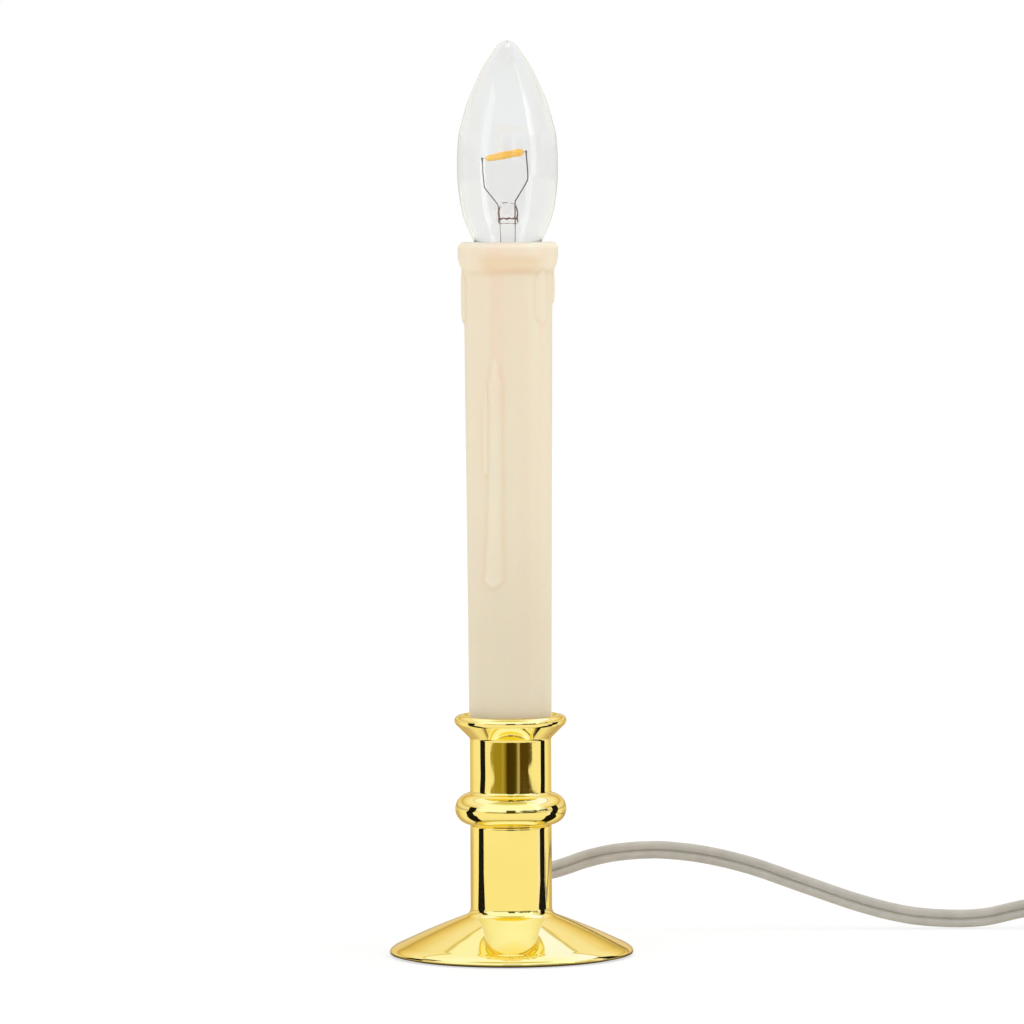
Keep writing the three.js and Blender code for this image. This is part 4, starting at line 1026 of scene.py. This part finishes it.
filament_low, filament_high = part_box("led_filament")
FILAMENT_RADIUS = 0.95
FILAMENT_HALF = 4.85
FILAMENT_TILT = 0.18
filament_centre = Vector((-0.7, 0.0, (filament_low.z + filament_high.z) / 2 / MM))
filament_along = Vector((math.cos(FILAMENT_TILT), 0.0, math.sin(FILAMENT_TILT)))


def filament_piece():
    """Strip coated with phosphor, thicker where the coat has run together."""
    side = Vector((0, 1, 0))
    up = filament_along.cross(side)
    rings = []
    steps = 60
    for i in range(steps + 1):
        t = -1 + 2 * i / steps
        end = math.sqrt(max(0.03, 1 - abs(t) ** 14))
        lump = 0.24 * math.exp(-((t - 0.75) / 0.25) ** 2)
        swell = 0.86 + 0.12 * math.cos(3.0 * (t + 0.1)) + lump
        centre = filament_centre + filament_along * (t * FILAMENT_HALF)
        rings.append([
            centre + (side * c * 0.85 + up * s) * FILAMENT_RADIUS * end * swell
            for c, s in unit_circle(24)])
    return ringed("filament_coat", rings, sharp_degrees=60.0)


# Each lead wire from the driver up through the pinch to its knob at the filament:
# sideways place, and height above the screw shell
LEAD_PATHS = {
    "left": [(-1.0, -6.0), (-1.2, 6.0), (-1.7, 10.5), (-1.95, 16.2), (-2.4, 19.6),
             (-3.0, 20.4), (-5.8, 23.9), (-6.15, 27.8), (-6.3, 31.4)],
    "right": [(1.0, -6.0), (1.2, 6.0), (1.75, 10.5), (1.8, 16.2), (1.8, 20.4),
              (4.7, 25.1), (5.1, 26.2), (4.9, 29.6), (4.6, 33.1)],
}
LEAD_RADIUS = {"left": 0.14, "right": 0.17}
KNOB_PLACES = (0.6, 0.8, 0.86, 0.92, 0.97, 1.0)  # along the path's last step
KNOB_RADII = [0.2, 0.3, 0.36, 0.3, 0.16]


def lead_piece(word):
    """Wire that ends in a small knob, where the filament is welded on."""
    points = [Vector((x, 0, shell_top + z)) for x, z in LEAD_PATHS[word]]
    path = rounded_line(points[:-1], 0.5, 5)
    top = points[-1]
    knob = [path[-1].lerp(top, place) for place in KNOB_PLACES]
    radii = [LEAD_RADIUS[word]] * (len(path) + 1) + KNOB_RADII
    return wire(f"{word}_lead", path + knob, radii)


def tab_piece(word, side):
    """Flat metal end of the strip, out to its lead wire."""
    x, z = LEAD_PATHS[word][-1]
    inner = filament_centre + filament_along * side * (FILAMENT_HALF - 0.5)
    outer = Vector((x, 0.0, shell_top + z - 0.3))
    up = Vector((0, 0, 1))
    rings = [
        [p + Vector((0, 1, 0)) * a + up * b
         for a, b in ((-0.3, -0.1), (0.3, -0.1), (0.3, 0.1), (-0.3, 0.1))]
        for p in (inner, (inner + outer) / 2, outer)
    ]
    return ringed(f"{word}_filament_tab", rings, sharp_degrees=30.0)


def seal_piece(word, side):
    """Copper-clad stretch of the wire where the pinch seals it in."""
    x = side * 2.0 + 0.1
    path = rounded_line([
        (x + side * 0.5, -0.2, shell_top + 15.2), (x + side * 0.15, 0, shell_top + 16.3),
        (x + side * 0.4, 0, shell_top + 17.6), (x - side * 0.1, 0, shell_top + 19.4)], 0.4)
    return wire(f"{word}_seal", path, [0.12] + [0.2] * (len(path) - 2) + [0.1])


def pinch_line(name, rise, radius, wave):
    """Wavy edge that the tongs left across the pinch."""
    path = [Vector((x / 5, -0.9, shell_top + rise + wave * math.sin(x * 0.9)))
            for x in range(-11, 14)]
    radii = [radius * (0.5 + 0.5 * abs(math.sin(x * 0.35 + 1.0))) for x in range(len(path))]
    return wire(name, path, radii, 8)


dress(envelope_piece(), "clear_glass", "bulb_glass", body="bulb")
dress(stem_piece(), "stem_glass", "bulb_stem", body="bulb")
dress(filament_piece(), "phosphor", "led_filament", body="bulb")
for word, side in (("left", -1), ("right", 1)):
    dress(lead_piece(word), "lead_wire", f"{word}_lead_wire", body="bulb")
    dress(tab_piece(word, side), "nickel", body="bulb", slot="steel")
    dress(seal_piece(word, side), "sealing_wire", body="bulb")
dress(pinch_line("pinch_mark", 16.2, 0.24, 0.12), "sealing_wire", body="bulb")
dress(pinch_line("pinch_edge", 15.0, 0.09, 0.08), "sealing_wire", body="bulb")


# Strain relief and mains wires

BUSHING_RADIUS = 2.3
TAIL_RADIUS = 3.2
TAIL_WIDE, TAIL_THICK = 2.75, 1.8  # half its section where it ends
TAIL_GROOVES = (0.16, 0.32, 0.48, 0.64)  # places along it
TAIL_STEPS = 76
MAINS_RADIUS = 1.1


def relief_piece():
    """Bushing with its flange inside the column and a grooved tail outside."""
    seat = COLUMN_RADIUS + 0.3
    inside, end = (corner.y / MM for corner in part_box("strain_relief"))

    def ring(y, wide, thick, hugs=False):
        points = []
        for c, s in unit_circle(48):
            x, z = thick * c, wide * s
            back = seat - math.sqrt(seat * seat - x * x) if hugs else 0.0
            points.append((x, y - back, CORD_HEIGHT + z))
        return points

    rings = [ring(y, radius, radius) for y, radius in (
        (inside, 2.9), (inside + 0.2, 3.1), (inside + 1.2, 3.1), (inside + 1.4, 2.9),
        (inside + 1.4, BUSHING_RADIUS), (9.8, BUSHING_RADIUS))]
    rings += [ring(y, radius, radius, True) for y, radius in (
        (seat, 2.35), (seat, 3.0), (seat + 0.15, TAIL_RADIUS))]
    start = seat + 1.0
    for i in range(TAIL_STEPS + 1):
        t = i / TAIL_STEPS
        y = start + (end - start) * t
        wide, thick = (TAIL_RADIUS + (half - TAIL_RADIUS) * t for half in (TAIL_WIDE, TAIL_THICK))
        inset = groove_depth(t, TAIL_GROOVES, 0.045, 4, 0.42)
        edge = 0.35 * (1 - math.sqrt(max(0.0, 1 - max(0.0, (t - 0.975) / 0.025) ** 2)))
        rings.append(ring(y, wide - inset - edge, thick - inset - edge))
    return ringed("cord_bushing", rings, sharp_degrees=35.0)


dress(relief_piece(), "moulded_fittings", "strain_relief")


def mains_wire(name, node, side):
    """Wire from the cord's end through the rod and out to its terminal."""
    rod_bottom, rod_top = bottom_of("stem_rod"), top_of("stem_rod")
    top = top_of(node)
    x, out, start = side * 1.9, side * 4.3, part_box(node)[1].y / MM
    free = top - rod_top
    path = smooth_line([
        (side * 1.4, start, CORD_HEIGHT), (side * 1.4, start - 1.1, CORD_HEIGHT),
        (side * 1.65, 1.1, (2 * CORD_HEIGHT + rod_bottom) / 3), (x, 0, rod_bottom - 1.1),
        (x, 0, rod_bottom + 8), (x, 0, (rod_bottom + rod_top) / 2), (x, 0, rod_top - 8),
        (x, 0, rod_top + 0.07 * free), ((x + out) / 2, 0, rod_top + 0.48 * free),
        (out, 0, rod_top + 0.77 * free), (out, 0, top)], 8)
    return wire(name, path, MAINS_RADIUS, 20)


dress(mains_wire("black_mains_wire", "hot_wire", -1), "black_insulation", "hot_wire")
dress(mains_wire("white_mains_wire", "neutral_wire", 1), "moulded_fittings", "neutral_wire")


# Inline switch

SWITCH_CENTRE = (159.0, 50.0)
SWITCH_MID = 5.5  # height where the halves meet
SCREW_CENTRE = (174.5, 50.0)
AXLE_HOLE = 1.4
CASE_LENGTH, CASE_WIDTH, CASE_CORNER = 42, 15, 3.4
CASE_EDGE = 1.4
TEETH = 40
TOOTH_DEPTH = 0.4
WHEEL_RADIUS = 8.6


def rounded_rectangle(length, width, corner, steps=8):
    points = []
    for sx, sy, start in ((1, 1, 0), (-1, 1, 90), (-1, -1, 180), (1, -1, 270)):
        centre = (sx * (length / 2 - corner), sy * (width / 2 - corner))
        points += arc(centre, corner, start, start + 90, steps)
    return points


def case_ring(z, inset):
    return [
        (SWITCH_CENTRE[0] + x, SWITCH_CENTRE[1] + y, z)
        for x, y in rounded_rectangle(
            CASE_LENGTH - 2 * inset, CASE_WIDTH - 2 * inset, CASE_CORNER - inset)
    ]


def case_half(name, direction):
    """Half of the case: rounded outer edge, a fine chamfer where the halves meet."""
    outside = SWITCH_MID - direction * SWITCH_MID
    rings = []
    for degrees in range(0, 91, 15):
        lean = math.radians(degrees)
        rings.append(case_ring(outside + direction * CASE_EDGE * (1 - math.cos(lean)),
                               CASE_EDGE * (1 - math.sin(lean))))
    rings += [case_ring(SWITCH_MID - direction * 0.3, 0.0),
              case_ring(SWITCH_MID - direction * 0.04, 0.22)]
    half = ringed(name, rings, sharp_degrees=35.0)
    # Centre, radius, bottom and top of each hole
    return cut_out(half, *(drill(*hole, 64, centre) for centre, *hole in (
        (SWITCH_CENTRE, WHEEL_RADIUS + 0.4, 3.1, 7.9), (SWITCH_CENTRE, AXLE_HOLE, 1.0, 10.0),
        (SCREW_CENTRE, 1.5, 1.7, 9.4), (SCREW_CENTRE, 2.5, 9.3, 12.0))))


def wheel_piece():
    """Thumbwheel with fine upright teeth and eased edges."""
    sides = TEETH * 8

    def ring(z, inset):
        def radius(a):
            tooth = abs(((a * TEETH / (2 * math.pi)) % 1.0) - 0.5) * 2
            return WHEEL_RADIUS - inset - TOOTH_DEPTH * smoothstep(0.25, 0.85, tooth)
        return circle(radius, z, sides, SWITCH_CENTRE)

    rings = [circle(AXLE_HOLE, 3.5, sides, SWITCH_CENTRE), ring(3.5, 0.45), ring(3.7, 0.15),
             ring(3.95, 0.0), ring(7.05, 0.0), ring(7.3, 0.15), ring(7.5, 0.45),
             circle(AXLE_HOLE, 7.5, sides, SWITCH_CENTRE)]
    return ringed("thumbwheel_knurled", rings, looped=True, sharp_degrees=35.0)


def screw_piece():
    """Flat-headed screw with a cross recess."""
    head = bend((2.2, 9.9), (2.2, 10.7), (1.3, 10.8), 6)
    screw = turned(
        "case_screw", [(0, 2.0), (0.9, 2.0), (1.2, 2.4), (1.2, 9.6), (2.0, 9.6),
                       *head, (0, 10.8)], 64, centre=SCREW_CENTRE)
    cutters = []
    for turn in (20, 110):
        slot = bmesh.new()
        bmesh.ops.create_cube(slot, size=1.0)
        bmesh.ops.scale(slot, vec=(2.6, 0.5, 1.6), verts=slot.verts)
        turned_slot = Matrix.Rotation(math.radians(turn), 3, "Z")
        bmesh.ops.rotate(slot, matrix=turned_slot, verts=slot.verts)
        bmesh.ops.translate(slot, vec=(*SCREW_CENTRE, 10.8), verts=slot.verts)
        cutters.append(finish_mesh(slot, "slot"))
    return cut_out(screw, *cutters)


switch_pieces = [
    dress(case_half("case_bottom", 1), "moulded_fittings", "switch_case_bottom"),
    dress(case_half("case_top", -1), "moulded_fittings", "switch_case_top"),
    dress(wheel_piece(), "black_insulation", "switch_thumbwheel", body="thumbwheel"),
    dress(screw_piece(), "steel", "switch_screw"),
]


# Plug and tie

PLUG_START = (212.0, 37.0, 7.0)
PLUG_LENGTH = 24.0
PLUG_FACE = PLUG_START[0] + PLUG_LENGTH
BLADE_SPACING = 12.7
BLADE_LENGTH = 16.5
BLADE_HALF = 0.75  # of its thickness
BLADE_HOLE_RADIUS = 1.55
PLUG_GROOVES = (15.6, 17.6, 19.6)  # places along it
TIE_WIDE, TIE_THICK, TIE_GAP = 5.0, 0.8, 0.3
TIE_AZIMUTH = 225  # round the coil


def plug_piece():
    """Moulded body that widens from the cord, with finger grooves. Each station is
    a place along it, a width, a height and the power that rounds its corners."""
    stations = smooth_line([
        (0.0, 7.4, 5.9, 0.9), (0.4, 8.0, 6.5, 0.9), (4.0, 8.4, 6.8, 0.86), (7.0, 9.6, 7.7, 0.8),
        (9.5, 15.0, 10.2, 0.6), (12.0, 22.0, 12.5, 0.48), (14.5, 23.95, 13.95, 0.42),
        (17.0, 24.0, 14.0, 0.4), (20.0, 24.0, 14.0, 0.4), (23.2, 24.0, 14.0, 0.4),
        (23.8, 23.6, 13.6, 0.4), (24.0, 22.6, 12.6, 0.4)], 8)
    rings = []
    for along, width, height, power in stations:
        inset = groove_depth(along, PLUG_GROOVES, 0.7, 2, 0.35)
        rings.append([
            (PLUG_START[0] + min(PLUG_LENGTH, along),
             PLUG_START[1] + (width / 2 - inset) * math.copysign(abs(c) ** power, c),
             PLUG_START[2] + (height / 2 - inset) * math.copysign(abs(s) ** power, s))
            for c, s in unit_circle(96)])
    return ringed("plug_moulding", rings, sharp_degrees=50.0)


def blade_piece(name, side, width):
    """Brass blade with eased edges, a chamfered end and its round hole."""
    y = PLUG_START[1] + side * BLADE_SPACING / 2
    z = PLUG_START[2]
    start, end = PLUG_FACE - 6.0, PLUG_FACE + BLADE_LENGTH

    def section(x, half_thick, half_wide):
        ease = min(0.18, half_thick * 0.4)
        return [
            (x, y + sy * (half_thick - a), z + sz * (half_wide - b))
            for sy, sz, a, b in (
                (1, 1, ease, 0), (-1, 1, ease, 0), (-1, 1, 0, ease), (-1, -1, 0, ease),
                (-1, -1, ease, 0), (1, -1, ease, 0), (1, -1, 0, ease), (1, 1, 0, ease))
        ]

    half = width / 2
    rings = [section(*place) for place in (
        (start, BLADE_HALF, half), (end - 2.0, BLADE_HALF, half),
        (end - 1.2, BLADE_HALF, half - 0.15), (end - 0.5, 0.6, half - 0.55),
        (end, 0.35, half - 1.0))]
    blade = ringed(name, rings, sharp_degrees=25.0)
    hole = drill(BLADE_HOLE_RADIUS, -3, 3, 40)
    hole.data.transform(
        Matrix.Translation(Vector((end - 4.0, y, z)) * MM) @ Matrix.Rotation(math.pi / 2, 4, "X"))
    return cut_out(blade, hole, sharp_degrees=25.0)


def tie_piece():
    """Flat strap round the coil's turns."""
    around = math.radians(TIE_AZIMUTH)
    inner = COIL_RADIUS - COIL_PITCH * COIL_TURNS / 2 - CORD_THICK / 2 - TIE_GAP
    outer = COIL_RADIUS + CORD_THICK / 2 + TIE_GAP
    height = CORD_WIDE + COIL_LAYER_RISE + 2 * TIE_GAP
    outward = Vector((math.cos(around), math.sin(around), 0))
    along = Vector((-outward.y, outward.x, 0))
    middle = Vector((*COIL_CENTRE, TIE_THICK + height / 2)) + outward * (inner + outer) / 2
    section = [(t, w) for w, t in rounded_rectangle(TIE_WIDE, TIE_THICK, 0.3, 4)]
    loop = rounded_rectangle(outer - inner + TIE_THICK, height + TIE_THICK, 1.6, 6)
    rings = []
    for i, (a, b) in enumerate(loop):
        before, after = loop[i - 1], loop[(i + 1) % len(loop)]
        run = Vector((after[0] - before[0], after[1] - before[1])).normalized()
        face = outward * run.y - Vector((0, 0, 1)) * run.x
        spot = middle + outward * a + Vector((0, 0, 1)) * b
        rings.append([spot + face * t + along * w for t, w in section])
    return ringed("coil_tie", rings, looped=True, sharp_degrees=50.0)


spare_pieces = [
    dress(plug_piece(), "moulded_fittings", "plug_body"),
    dress(blade_piece("hot_blade", -1, 6.35), "brass", "plug_blade_hot"),
    dress(blade_piece("neutral_blade", 1, 7.94), "brass", "plug_blade_neutral"),
    dress(tie_piece(), "tie_plastic", "cord_tie"),
]


# Stage, world and lamps

FLOOR_HALF = 3.0
TABLE_REACH = 0.431  # how far the white table reaches in front
WIDE_REACH = 0.444  # and where the dark room beyond it shows widest
ROOM_LEFT, ROOM_RIGHT = -52.5, 57.0  # azimuths of that room's sides on the floor
CARD_DISTANCE = 75.0
CARD_HEIGHT = 62.0
WARMTH = (1.0, 1.0, 0.62)  # of everything that the pieces mirror
DARK_STAND = (0.1, 0.07, 0.02)
WHITE = (1.0, 1.0, 1.0)


def either_ray(tree, *kinds):
    """1 for the kinds of ray named, else 0."""
    outputs = add_node(tree, "LightPath").outputs
    total = outputs[kinds[0]]
    for kind in kinds[1:]:
        total = maths("MAXIMUM", total, outputs[kind])
    return total


def mirrored_more_than(tree, count):
    """1 for a ray that has been mirrored more than so many times, else 0."""
    depth = add_node(tree, "LightPath").outputs["Glossy Depth"]
    return maths("GREATER_THAN", depth, count + 0.5)


def room_tones(azimuth):
    """The dim room beyond the table: olive to the left, dark, one pale post."""
    return ramp(
        share(azimuth, -80.0, 80.0),
        (0.33, (0.37, 0.3, 0.045)), (0.36, (0.46, 0.4, 0.13)), (0.39, (0.36, 0.29, 0.06)),
        (0.445, (0.06, 0.037, 0.005)), (0.58, (0.07, 0.05, 0.006)), (0.612, (0.2, 0.19, 0.1)),
        (0.625, (0.53, 0.46, 0.45)), (0.648, (0.5, 0.43, 0.4)), (0.668, (0.09, 0.058, 0.01)),
        (1.0, (0.1, 0.07, 0.01)))


def backdrop(azimuth, rise):
    """What the plating mirrors from behind: a paper sweep with a pale sheet above."""
    low = (
        (0.0, (0.65, 0.6, 0.8)), (0.03, (0.68, 0.62, 0.8)), (0.08, (0.98, 0.98, 1.3)),
        (0.17, (0.98, 0.96, 1.2)), (0.215, (0.66, 0.58, 0.42)), (0.25, (0.86, 0.78, 0.66)),
        (0.31, (1.0, 0.95, 1.0)), (0.4, (1.05, 1.1, 1.6)),
        (0.468, (1.06, 1.08, 1.5)), (0.48, (0.74, 0.7, 0.5)), (0.486, (0.8, 0.78, 0.6)))
    high = ((0.7, (1.1, 1.3, 2.5)), (1.0, (1.1, 1.25, 2.0)))
    left = ramp(rise, *low, (0.495, (1.09, 1.25, 2.0)), (0.6, (1.09, 1.25, 2.1)), *high)
    right = ramp(rise, *low, (0.495, (1.1, 1.33, 3.4)), (0.6, (1.1, 1.33, 3.2)), *high)
    return mixed(band(azimuth, 60.0, 172.5, 4.0), left, right)


def mirrored_world(tree):
    """What the pieces mirror of the world, by direction."""
    source = add_node(tree, "TexCoord").outputs["Generated"]
    x, y, z = add_node(tree, "SeparateXYZ", source).outputs
    azimuth, height = degrees_of(x, y), times(maths("ARCSINE", z), TO_DEGREES)
    rise = share(height, 0.0, 90.0)

    def patch(left, right, side_soft, low, high, soft):
        return times(band(azimuth, left, right, side_soft), band(height, low, high, soft))

    front = ramp(
        rise, (0.0, (1.0, 1.1, 1.3)), (0.04, (1.08, 1.3, 2.2)), (0.58, (1.08, 1.3, 2.1)),
        (0.66, (0.9, 0.98, 0.9)), (0.72, (0.75, 0.78, 0.5)), (0.78, (0.7, 0.64, 0.4)),
        (0.88, (0.75, 0.66, 0.4)), (0.94, (1.0, 1.1, 1.2)), (1.0, (1.1, 1.25, 2.0)))
    second = ramp(
        rise, (0.0, (0.92, 0.95, 0.31)), (0.14, (0.95, 1.0, 0.38)), (0.24, (1.15, 1.55, 3.8)),
        (0.6, (1.18, 1.7, 5.7)), (0.65, (1.15, 1.25, 0.25)), (1.0, (1.15, 1.25, 0.25)))
    flat = add_node(tree, "Mapping", Vector=source, Scale=(1.0, 1.0, 5.0)).outputs["Vector"]
    streaks = add_node(tree, "TexNoise", Vector=flat, Scale=9.0, Detail=2.0).outputs["Fac"]
    things = times(patch(20.0, 84.0, 4.0, 2.0, 14.0, 1.5), eased(streaks, 0.4, 0.46))
    seen = mixed(band(azimuth, -75.0, 75.0, 12.0), backdrop(azimuth, rise), front)
    for factor, tone in (
            (patch(56.0, 63.0, 2.0, 3.0, 60.0, 3.0), (3.2,) * 3),  # a bright strip
            (mirrored_more_than(tree, 1), second),
            (mirrored_more_than(tree, 2), (1.22, 1.7, 0.77)),
            (things, (0.06, 0.045, 0.02)),
            (patch(-9.0, 10.0, 2.0, -3.0, 16.0, 2.0), DARK_STAND),
            (patch(-53.0, 56.0, 1.5, -12.0, 2.0, 1.0), room_tones(azimuth))):
        seen = mixed(factor, seen, tone)
    return mixed(1.0, seen, WARMTH, "MULTIPLY")


def make_world():
    """Plain light on everything, white behind it, and a room in its reflections."""
    world = bpy.data.worlds.new("studio")
    bpy.context.scene.world = world
    world.use_nodes = True
    tree = world.node_tree
    colour = mixed(either_ray(tree, "Is Glossy Ray"), (0.77,) * 3, mirrored_world(tree))
    shown = either_ray(tree, "Is Camera Ray", "Is Transmission Ray")
    set_inputs(tree.nodes["Background"], Color=mixed(shown, colour, WHITE), Strength=1.0)


def own_surface(name):
    """The tree of a material without its Principled shader, and its surface input."""
    tree, shader = new_material(name)
    tree.nodes.remove(shader)
    return tree, tree.nodes["Material Output"].inputs["Surface"]


def mirrored_floor(tree, reach):
    """What the pieces mirror of the floor: the white table with shadows and things
    on it, and the dim room beyond."""
    x, y, _ = add_node(
        tree, "SeparateXYZ", add_node(tree, "TexCoord").outputs["Object"]).outputs
    azimuth = degrees_of(x, y)
    wave = times(maths("COSINE", times(maths("SUBTRACT", reach, WIDE_REACH), 46.0)), 7.0)
    left = eased(maths("ADD", azimuth, wave), ROOM_LEFT - 1.0, ROOM_LEFT + 1.0)
    bulge = eased(reach, TABLE_REACH, TABLE_REACH + 0.03, 16.0, 0.0)
    right = eased(maths("SUBTRACT", azimuth, maths("ADD", wave, bulge)),
                  ROOM_RIGHT - 1.0, ROOM_RIGHT + 1.0, 1.0, 0.0)
    beyond = times(left, right, eased(reach, TABLE_REACH - 0.003, TABLE_REACH + 0.003))
    table = ramp(share(reach, 0.028, 0.06), (0.08, (0.1, 0.08, 0.06)),
                 (0.19, (0.5, 0.46, 0.42)), (0.31, (0.95,) * 3), (1.0, (1.05, 1.05, 1.1)))
    behind = eased(maths("ABSOLUTE", azimuth), 122.0, 142.0)
    far = ramp(share(reach, 0.28, 0.36), (0.0, (0.72, 0.66, 0.75)), (1.0, (0.88, 0.86, 1.0)))
    edge = band(reach, 0.35, TABLE_REACH, 0.003)
    things = eased(object_noise(tree, 14.0, 2.0), 0.45, 0.55)
    near = times(band(reach, 0.033, 0.078, 0.002),
                 maths("SUBTRACT", 1.0, mirrored_more_than(tree, 1)))
    layers = [
        (behind, far),
        (times(edge, band(azimuth, -10.0, 10.0, 2.0)), DARK_STAND),
        (times(edge, band(azimuth, 21.0, 82.0, 6.0), things), (0.22, 0.17, 0.08))]
    layers += [(times(near, band(azimuth, *sides, 1.5)), (0.014, 0.01, 0.006))
               for sides in ((-104.0, -74.0), (78.0, 114.0))]
    for factor, tone in (*layers, (beyond, room_tones(azimuth))):
        table = mixed(factor, table, tone)
    table = mixed(mirrored_more_than(tree, 1), table, (1.15, 1.45, 2.5), "MULTIPLY")
    return mixed(1.0, table, WARMTH, "MULTIPLY")


def make_floor():
    """White table that keeps the shadow, with the dim room in its reflections."""
    bm = bmesh.new()
    half = FLOOR_HALF / MM
    bm.faces.new([bm.verts.new((x, y, -0.05)) for x, y in (
        (-half, -half), (half, -half), (half, half), (-half, half))])
    floor = finish_mesh(bm, "floor")
    tree, surface = own_surface("floor")
    length = add_node(tree, "VectorMath", add_node(tree, "TexCoord").outputs["Object"])
    length.operation = "LENGTH"
    reach = length.outputs["Value"]
    diffuse = add_node(tree, "BsdfDiffuse", Color=mottled(
        object_noise(tree, 12.0), (0.86,) * 3, (0.88,) * 3))
    white = add_node(tree, "Emission", Color=WHITE, Strength=1.08)
    lifted = mix_shaders(eased(reach, 0.1, 0.3, 0.6, 1.0), diffuse, white)
    shown = mix_shaders(
        either_ray(tree, "Is Camera Ray", "Is Transmission Ray"), diffuse, lifted)
    glow = add_node(tree, "Emission", Color=mirrored_floor(tree, reach), Strength=1.0)
    mirrored = maths("SUBTRACT", either_ray(tree, "Is Glossy Ray"),
                     either_ray(tree, "Is Transmission Ray"))
    put(surface, mix_shaders(mirrored, shown, glow).outputs[0])
    set_material(floor, "floor")


def make_card(name, *levels, pale=False):
    """Card that shows only in a first reflection, a black one as a dark line down
    the plating and a pale one to keep the cord out of it. Each level is a height
    and the azimuths of the card's two sides there."""
    bm = bmesh.new()
    sides = []
    distance = CARD_DISTANCE + (4.0 if pale else 0.0)
    for z, *azimuths in levels:
        turns = [math.radians(a) for a in azimuths]
        sides.append([bm.verts.new(
            Vector((math.sin(a), -math.cos(a), 0)) * distance + Vector((0, 0, z)))
            for a in turns])
    for (a, b), (c, d) in zip(sides, sides[1:]):
        bm.faces.new((a, b, d, c))
    card = finish_mesh(bm, name)
    tree, surface = own_surface(name)
    low, high = (1.0, 1.05) if pale else (0.01, 0.016)
    board = add_node(tree, "Emission" if pale else "BsdfDiffuse", Color=mottled(
        object_noise(tree, 40.0), (low,) * 3, (high,) * 3))
    clear = add_node(tree, "BsdfTransparent")
    put(surface, mix_shaders(mirrored_more_than(tree, 1), board, clear).outputs[0])
    set_material(card, name)
    for kind in ("camera", "diffuse", "transmission", "shadow", "volume_scatter"):
        setattr(card, f"visible_{kind}", False)


def add_lamp(name, energy, width, height, place, aim_height):
    """Soft lamp that doesn't show in reflections."""
    data = bpy.data.lights.new(name, "AREA")
    data.shape = "RECTANGLE"
    data.size, data.size_y = width, height
    data.energy = energy
    lamp = bpy.data.objects.new(name, data)
    bpy.context.collection.objects.link(lamp)
    lamp.location = place
    aim = Vector((0, 0, aim_height)) - Vector(place)
    lamp.rotation_euler = aim.to_track_quat("-Z", "Y").to_euler()
    lamp.visible_glossy = False


make_world()
make_floor()
make_card("left_card", (0.0, -104.0, -74.0), (5.0, -103.0, -75.0), (14.0, -99.0, -79.0),
          (28.0, -98.0, -79.0), (39.0, -89.5, -71.5), (CARD_HEIGHT, -89.5, -71.5))
make_card("right_card", (0.0, 78.0, 114.0), (5.0, 79.0, 110.0), (12.0, 85.0, 103.0),
          (25.0, 84.0, 103.5), (38.0, 89.0, 107.0), (CARD_HEIGHT, 89.0, 107.0))
make_card("white_card", (0.0, 74.0, 93.0), (29.0, 74.0, 93.0), pale=True)
add_lamp("left_softbox", 2.5, 0.5, 1.1, (-1.1, -0.75, 0.75), 0.12)
add_lamp("right_softbox", 2.7, 0.4, 1.1, (1.2, -0.6, 0.65), 0.12)
add_lamp("top_softbox", 4.4, 0.7, 0.7, (0.1, 0.05, 1.35), 0.0)

bpy.context.scene.view_settings.view_transform = "Standard"
